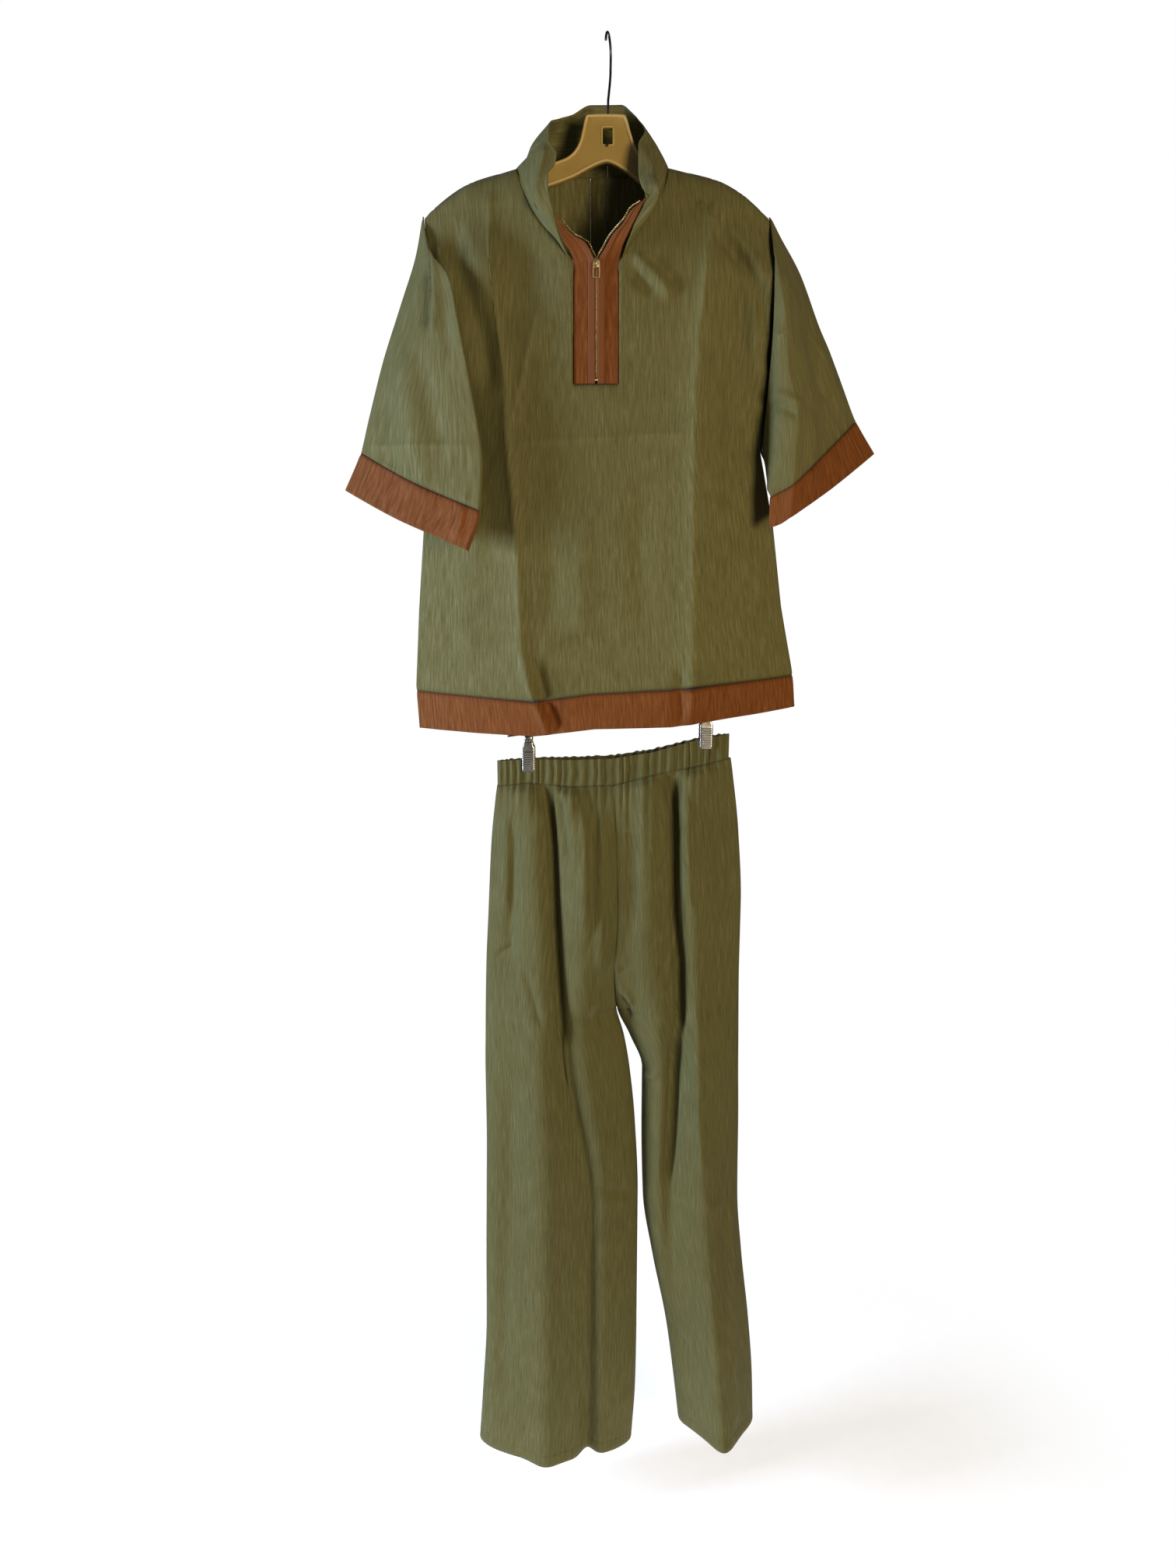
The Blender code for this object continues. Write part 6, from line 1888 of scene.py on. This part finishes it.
    def hook(self, finishes: Finishes) -> None:
        """The hook: a stem that leans back, and an open circle turned out of the hanger's plane."""
        radius = self.hook_inner + self.hook_wire / 2.0
        toward = np.array([-math.cos(self.hook_turn), -math.sin(self.hook_turn), 0.0])
        angle = np.radians(np.linspace(-100.0, 72.0, 60))[:, None]
        bend = toward * radius * np.sin(angle) + (0.0, 0.0, -self.hook_inner) + (
            np.cos(angle) * np.array([0.0, 0.0, radius]))
        stem = np.array([(0.0, 0.0, -84.0), (0.0, 0.0, -77.0), (0.0, 0.0, -70.0), (0.8, 4.0, -60.0),
                         (2.0, 11.0, -47.0), (2.9, 16.5, -34.0)])
        whole = along(np.concatenate([stem, bend]), 150)
        tube("wire_hook", whole, self.hook_wire, finishes.steel, ("hanger_hook",),
             sides=20)
        tip = whole[-1]
        rounded_block("hook_tip", tuple(tip), (3.1, 3.1, 3.1), finishes.steel,
                      square=2.0)

    def drop_wire(self, low_z: float, finishes: Finishes) -> None:
        """The wire that hangs from the slot, passes behind the hanger and carries the clip bar."""
        top = self.slot_z[0] + self.link_wire / 2.0 + 0.6
        thick = self.rim_size[1] / 2.0 + 2.0
        path = np.array([
            (-0.5, -thick, top - 5.0), (-0.5, -thick, top + 1.0), (-0.5, -3.0, top),
            (-0.5, 3.0, top), (-0.5, thick, top - 1.0), (-0.5, 9.5, top - 12.0),
            (-0.5, 12.0, -160.0), (5.0, 6.0, -420.0), (14.0, 0.0, -700.0), (14.0, 0.0, low_z)])
        length = path_length(path, 0)
        at = np.concatenate([np.linspace(0.0, length[6], 60)[:-1],
                             np.linspace(length[6], length[-1], 90)])
        tube("drop_wire", spline(length, path, at), self.link_wire, finishes.steel,
             ("drop_link",), sides=12)

    def build(self, finishes: Finishes) -> None:
        """Make the web, both rims and the hook."""
        self.web(finishes)
        self.rim("hanger_rim", self.smooth_outline()[:, :2], self.rim_size[0] / 2.0, self.rim_size,
                 finishes)
        middle = np.array([sum(self.slot_x) / 2.0, sum(self.slot_z) / 2.0])
        half = np.array([self.slot_x[1] - self.slot_x[0], self.slot_z[1] - self.slot_z[0]]) / 2.0
        turn = np.arange(64) * 2.0 * math.pi / 64
        square = np.stack([signed_power(np.cos(turn), 0.25), signed_power(np.sin(turn), 0.25)],
                          axis=-1)
        self.rim("slot_rim", middle + square * (half + 0.3), -1.0, (1.8, 8.0), finishes)
        self.hook(finishes)


@dataclass
class ClipHanger:
    """The bar under the top, with a ribbed spring clip at each end of the waistband."""

    middle: tuple[float, float, float] = (14.0, 0.0, -785.0)
    slope: float = math.radians(7.6)
    half: float = 140.0
    bar: float = 4.0
    clip_x: tuple[float, float] = (-99.0, 127.5)
    grip: float = 8.2
    plate: float = 1.2
    width: float = 16.0
    height: float = 46.0
    rib_pitch: float = 3.0
    rib_depth: float = 0.55
    jaw_size: tuple[int, int] = (93, 21)    # points down and across a plate

    def bar_point(self, x: float) -> np.ndarray:
        """A point on the bar."""
        return np.array([x, self.middle[1],
                         self.middle[2] + (x - self.middle[0]) * math.tan(self.slope)])

    def jaw(self, side: Side, x: float, top: float, face: Face, finishes: Finishes) -> None:
        """One pressed plate: a narrow thumb tab above, and level ribs below.

        Args:
            side: which clip.
            x: the clip's middle.
            top: the height of the clip's upper end.
            face: the front plate or the back one.
            finishes: the set's finishes.
        """
        high, low = top - 8.0, top - self.height
        rows, columns = self.jaw_size
        z = np.linspace(high, low, rows)[:, None]
        part = np.linspace(-1.0, 1.0, columns)[None, :]
        tab = smooth((high - z - 3.0) / 5.0)
        ease = 1.0 - 0.12 * smooth((1.6 - np.minimum(high - z, z - low)) / 1.6)
        half = self.width / 2.0 * lerp(0.72, 1.0, tab) * ease
        ribs = self.rib_depth * (0.5 - 0.5 * np.cos(2.0 * math.pi * (high - z) / self.rib_pitch))
        ribs = ribs * smooth((high - z - 9.0) / 3.0) * smooth((z - low - 1.5) / 2.0)
        across = 1.0 - smooth((np.abs(part) - 0.8) / 0.2)
        edge = 0.5 * smooth((np.abs(part) - 0.86) / 0.14)
        out = self.grip + self.plate / 2.0 + ribs * across - edge + 0.05
        points = np.stack([x + part * half, face.value * out, np.broadcast_to(z, out.shape)], axis=-1)
        faces = cell_faces(rows, columns, False, None, face is Face.FRONT)
        name = face.name.lower()
        piece = put_mesh(f"clip_jaw_{name}_{side.value}", points, faces, finishes.nickel)
        thicken = piece.modifiers.new("Plate", "SOLIDIFY")
        thicken.thickness, thicken.offset = (self.plate - 0.3) * MM, 0.0
        fix_to_set(piece, (f"clip_{name}_{side.value}",))

    def spring(self, side: Side, x: float, top: float, finishes: Finishes) -> None:
        """The coiled spring between the jaws, and the loop that goes over the bar."""
        turns, radius = 6.0, 5.4
        angle = np.linspace(0.0, 2.0 * math.pi * turns, 200)
        coil = np.stack([x + lerp(-4.6, 4.6, angle / angle[-1]), radius * np.cos(angle),
                         top - 13.0 + radius * np.sin(angle)], axis=-1)
        tube(f"clip_coil_{side.value}", coil, 1.2, finishes.nickel,
             (f"clip_spring_{side.value}",), sides=10)
        rounded_block(f"clip_saddle_{side.value}", (x, 0.0, top - 3.4), (11.6, 9.0, 6.4),
                      finishes.nickel)

    def build(self, finishes: Finishes) -> None:
        """Make the bar and both clips."""
        ends = [self.bar_point(self.middle[0] - self.half), self.bar_point(self.middle[0] + self.half)]
        path = lerp(ends[0], ends[1], np.linspace(0.0, 1.0, 60)[:, None])
        tube("clip_rail", path, self.bar, finishes.steel, ("clip_bar",))
        for side, x in zip((Side.RIGHT, Side.LEFT), self.clip_x):
            top = float(self.bar_point(x - self.width / 2.0)[2]) - self.bar / 2.0 - 0.3
            for face in Face:
                self.jaw(side, x, top, face, finishes)
            self.spring(side, x, top, finishes)


@dataclass(frozen=True)
class Lamp:
    """One soft area light, aimed at a point of the clothes."""

    name: str
    place: tuple[float, float, float]
    aim: tuple[float, float, float]
    size: tuple[float, float]
    power: float
    colour: str

    def build(self) -> None:
        """Put the light in the scene, its -Z towards its aim."""
        light = bpy.data.lights.new(self.name, "AREA")
        light.shape = "RECTANGLE"
        light.size, light.size_y = self.size
        light.energy = self.power
        light.color = linear(self.colour)[:3]
        holder = bpy.data.objects.new(self.name, light)
        holder.location = self.place
        aim = Vector(self.aim) - Vector(self.place)
        holder.rotation_euler = aim.to_track_quat("-Z", "Y").to_euler()
        bpy.context.scene.collection.objects.link(holder)


@dataclass
class Studio:
    """A white room with soft lights, a pale floor below, and a camera at the photo's angle."""

    backdrop: str = "#ffffff"
    ambient: float = 0.08
    floor_z: float = -1.95
    floor_half: float = 0.9
    camera_place: tuple[float, float, float] = (-0.023, -1.43, -0.563)
    camera_tilt: float = 78.0
    lens: float = 26.0
    lamps: tuple[Lamp, ...] = (
        Lamp("window_left", (-2.1, -0.6, -0.8), (0.0, 0.0, -0.9), (0.5, 1.1), 66.0, "#d4e3ff"),
        Lamp("room_front", (1.15, -2.1, -0.55), (0.0, 0.0, -0.85), (0.7, 0.7), 36.0, "#ffe8c4"),
        Lamp("room_back", (-0.7, 2.3, -0.4), (0.0, 0.0, -0.9), (0.9, 0.9), 22.0, "#eef2ff"))

    def world(self) -> None:
        """A white room to look at, that lights the clothes only dimly."""
        world = bpy.data.worlds.new("soft_room")
        world.use_nodes = True
        tree = world.node_tree
        seen = add_node(tree, "LightPath")
        strength = add_node(tree, "MapRange", inputs={
            "Value": seen.outputs["Is Camera Ray"], "To Min": self.ambient, "To Max": 1.0})
        shade = tree.nodes["Background"]
        shade.inputs["Color"].default_value = linear(self.backdrop)
        tree.links.new(strength.outputs[0], shade.inputs["Strength"])
        bpy.context.scene.world = world

    def floor(self) -> None:
        """A pale floor whose light fades into the room's at its rim."""
        half = self.floor_half
        corners = [(-half, -half, 0.0), (half, -half, 0.0), (half, half, 0.0), (-half, half, 0.0)]
        mesh = bpy.data.meshes.new("studio_floor")
        mesh.from_pydata(corners, [], [(0, 1, 2, 3)])
        made, tree, shader = blank_material("painted_floor")
        place = add_node(tree, "TexCoord")
        speck = add_node(tree, "TexNoise", inputs={
            "Vector": place.outputs["Object"], "Scale": 40.0, "Detail": 2.0})
        tone(tree, shader, speck.outputs["Fac"], ((0.3, "#f2f2f1"), (0.7, "#f7f7f6")))
        away = add_node(tree, "VectorMath", {"operation": "LENGTH"}, {0: place.outputs["Object"]})
        fade = add_node(tree, "MapRange", {"interpolation_type": "SMOOTHSTEP"}, {
            "Value": away.outputs["Value"], "From Min": 0.5 * half, "From Max": 0.98 * half,
            "To Min": 1.0, "To Max": 0.0})
        tree.links.new(fade.outputs[0], shader.inputs["Alpha"])
        shader.inputs["Emission Color"].default_value = linear("#ffffff")
        shader.inputs["Emission Strength"].default_value = 0.5
        shader.inputs["Roughness"].default_value = 0.95
        mesh.materials.append(made)
        floor = bpy.data.objects.new("studio_floor", mesh)
        floor.location = (0.0, 0.0, self.floor_z)
        bpy.context.scene.collection.objects.link(floor)

    def camera(self) -> None:
        """The photo's own view: a 26 mm lens, a little over a metre away, tilted down."""
        lens = bpy.data.cameras.new("photo_camera")
        lens.lens, lens.sensor_fit = self.lens, "VERTICAL"
        lens.sensor_height = 36.0
        holder = bpy.data.objects.new("photo_camera", lens)
        holder.location = self.camera_place
        holder.rotation_euler = (math.radians(self.camera_tilt), 0.0, 0.0)
        bpy.context.scene.collection.objects.link(holder)
        bpy.context.scene.camera = holder

    def build(self) -> None:
        """Set up the room, the lights and the camera."""
        self.world()
        self.floor()
        for lamp in self.lamps:
            lamp.build()
        self.camera()
        bpy.context.scene.view_settings.view_transform = "Standard"


def main() -> None:
    """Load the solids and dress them."""
    logging.basicConfig(level=logging.INFO, format="%(name)s %(message)s")
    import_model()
    finishes = Finishes()
    body = TopBody()
    body.build(finishes)
    Sleeve(Side.RIGHT, SLEEVE_RIGHT_RINGS, SLEEVE_RIGHT_FOLDS, -1.2, 43).build(finishes)
    Sleeve(Side.LEFT, SLEEVE_LEFT_RINGS, SLEEVE_LEFT_FOLDS, 0.0, 47).build(finishes)
    Collar(body.shape).build(finishes)
    ZipFront(body.shape).build(finishes)
    Trousers(Waist()).build(finishes)
    clips = ClipHanger()
    hanger = TopHanger()
    hanger.build(finishes)
    hanger.drop_wire(float(clips.middle[2]) + clips.bar / 2.0 + 0.4, finishes)
    clips.build(finishes)
    Studio().build()


if __name__ == "__main__":
    main()
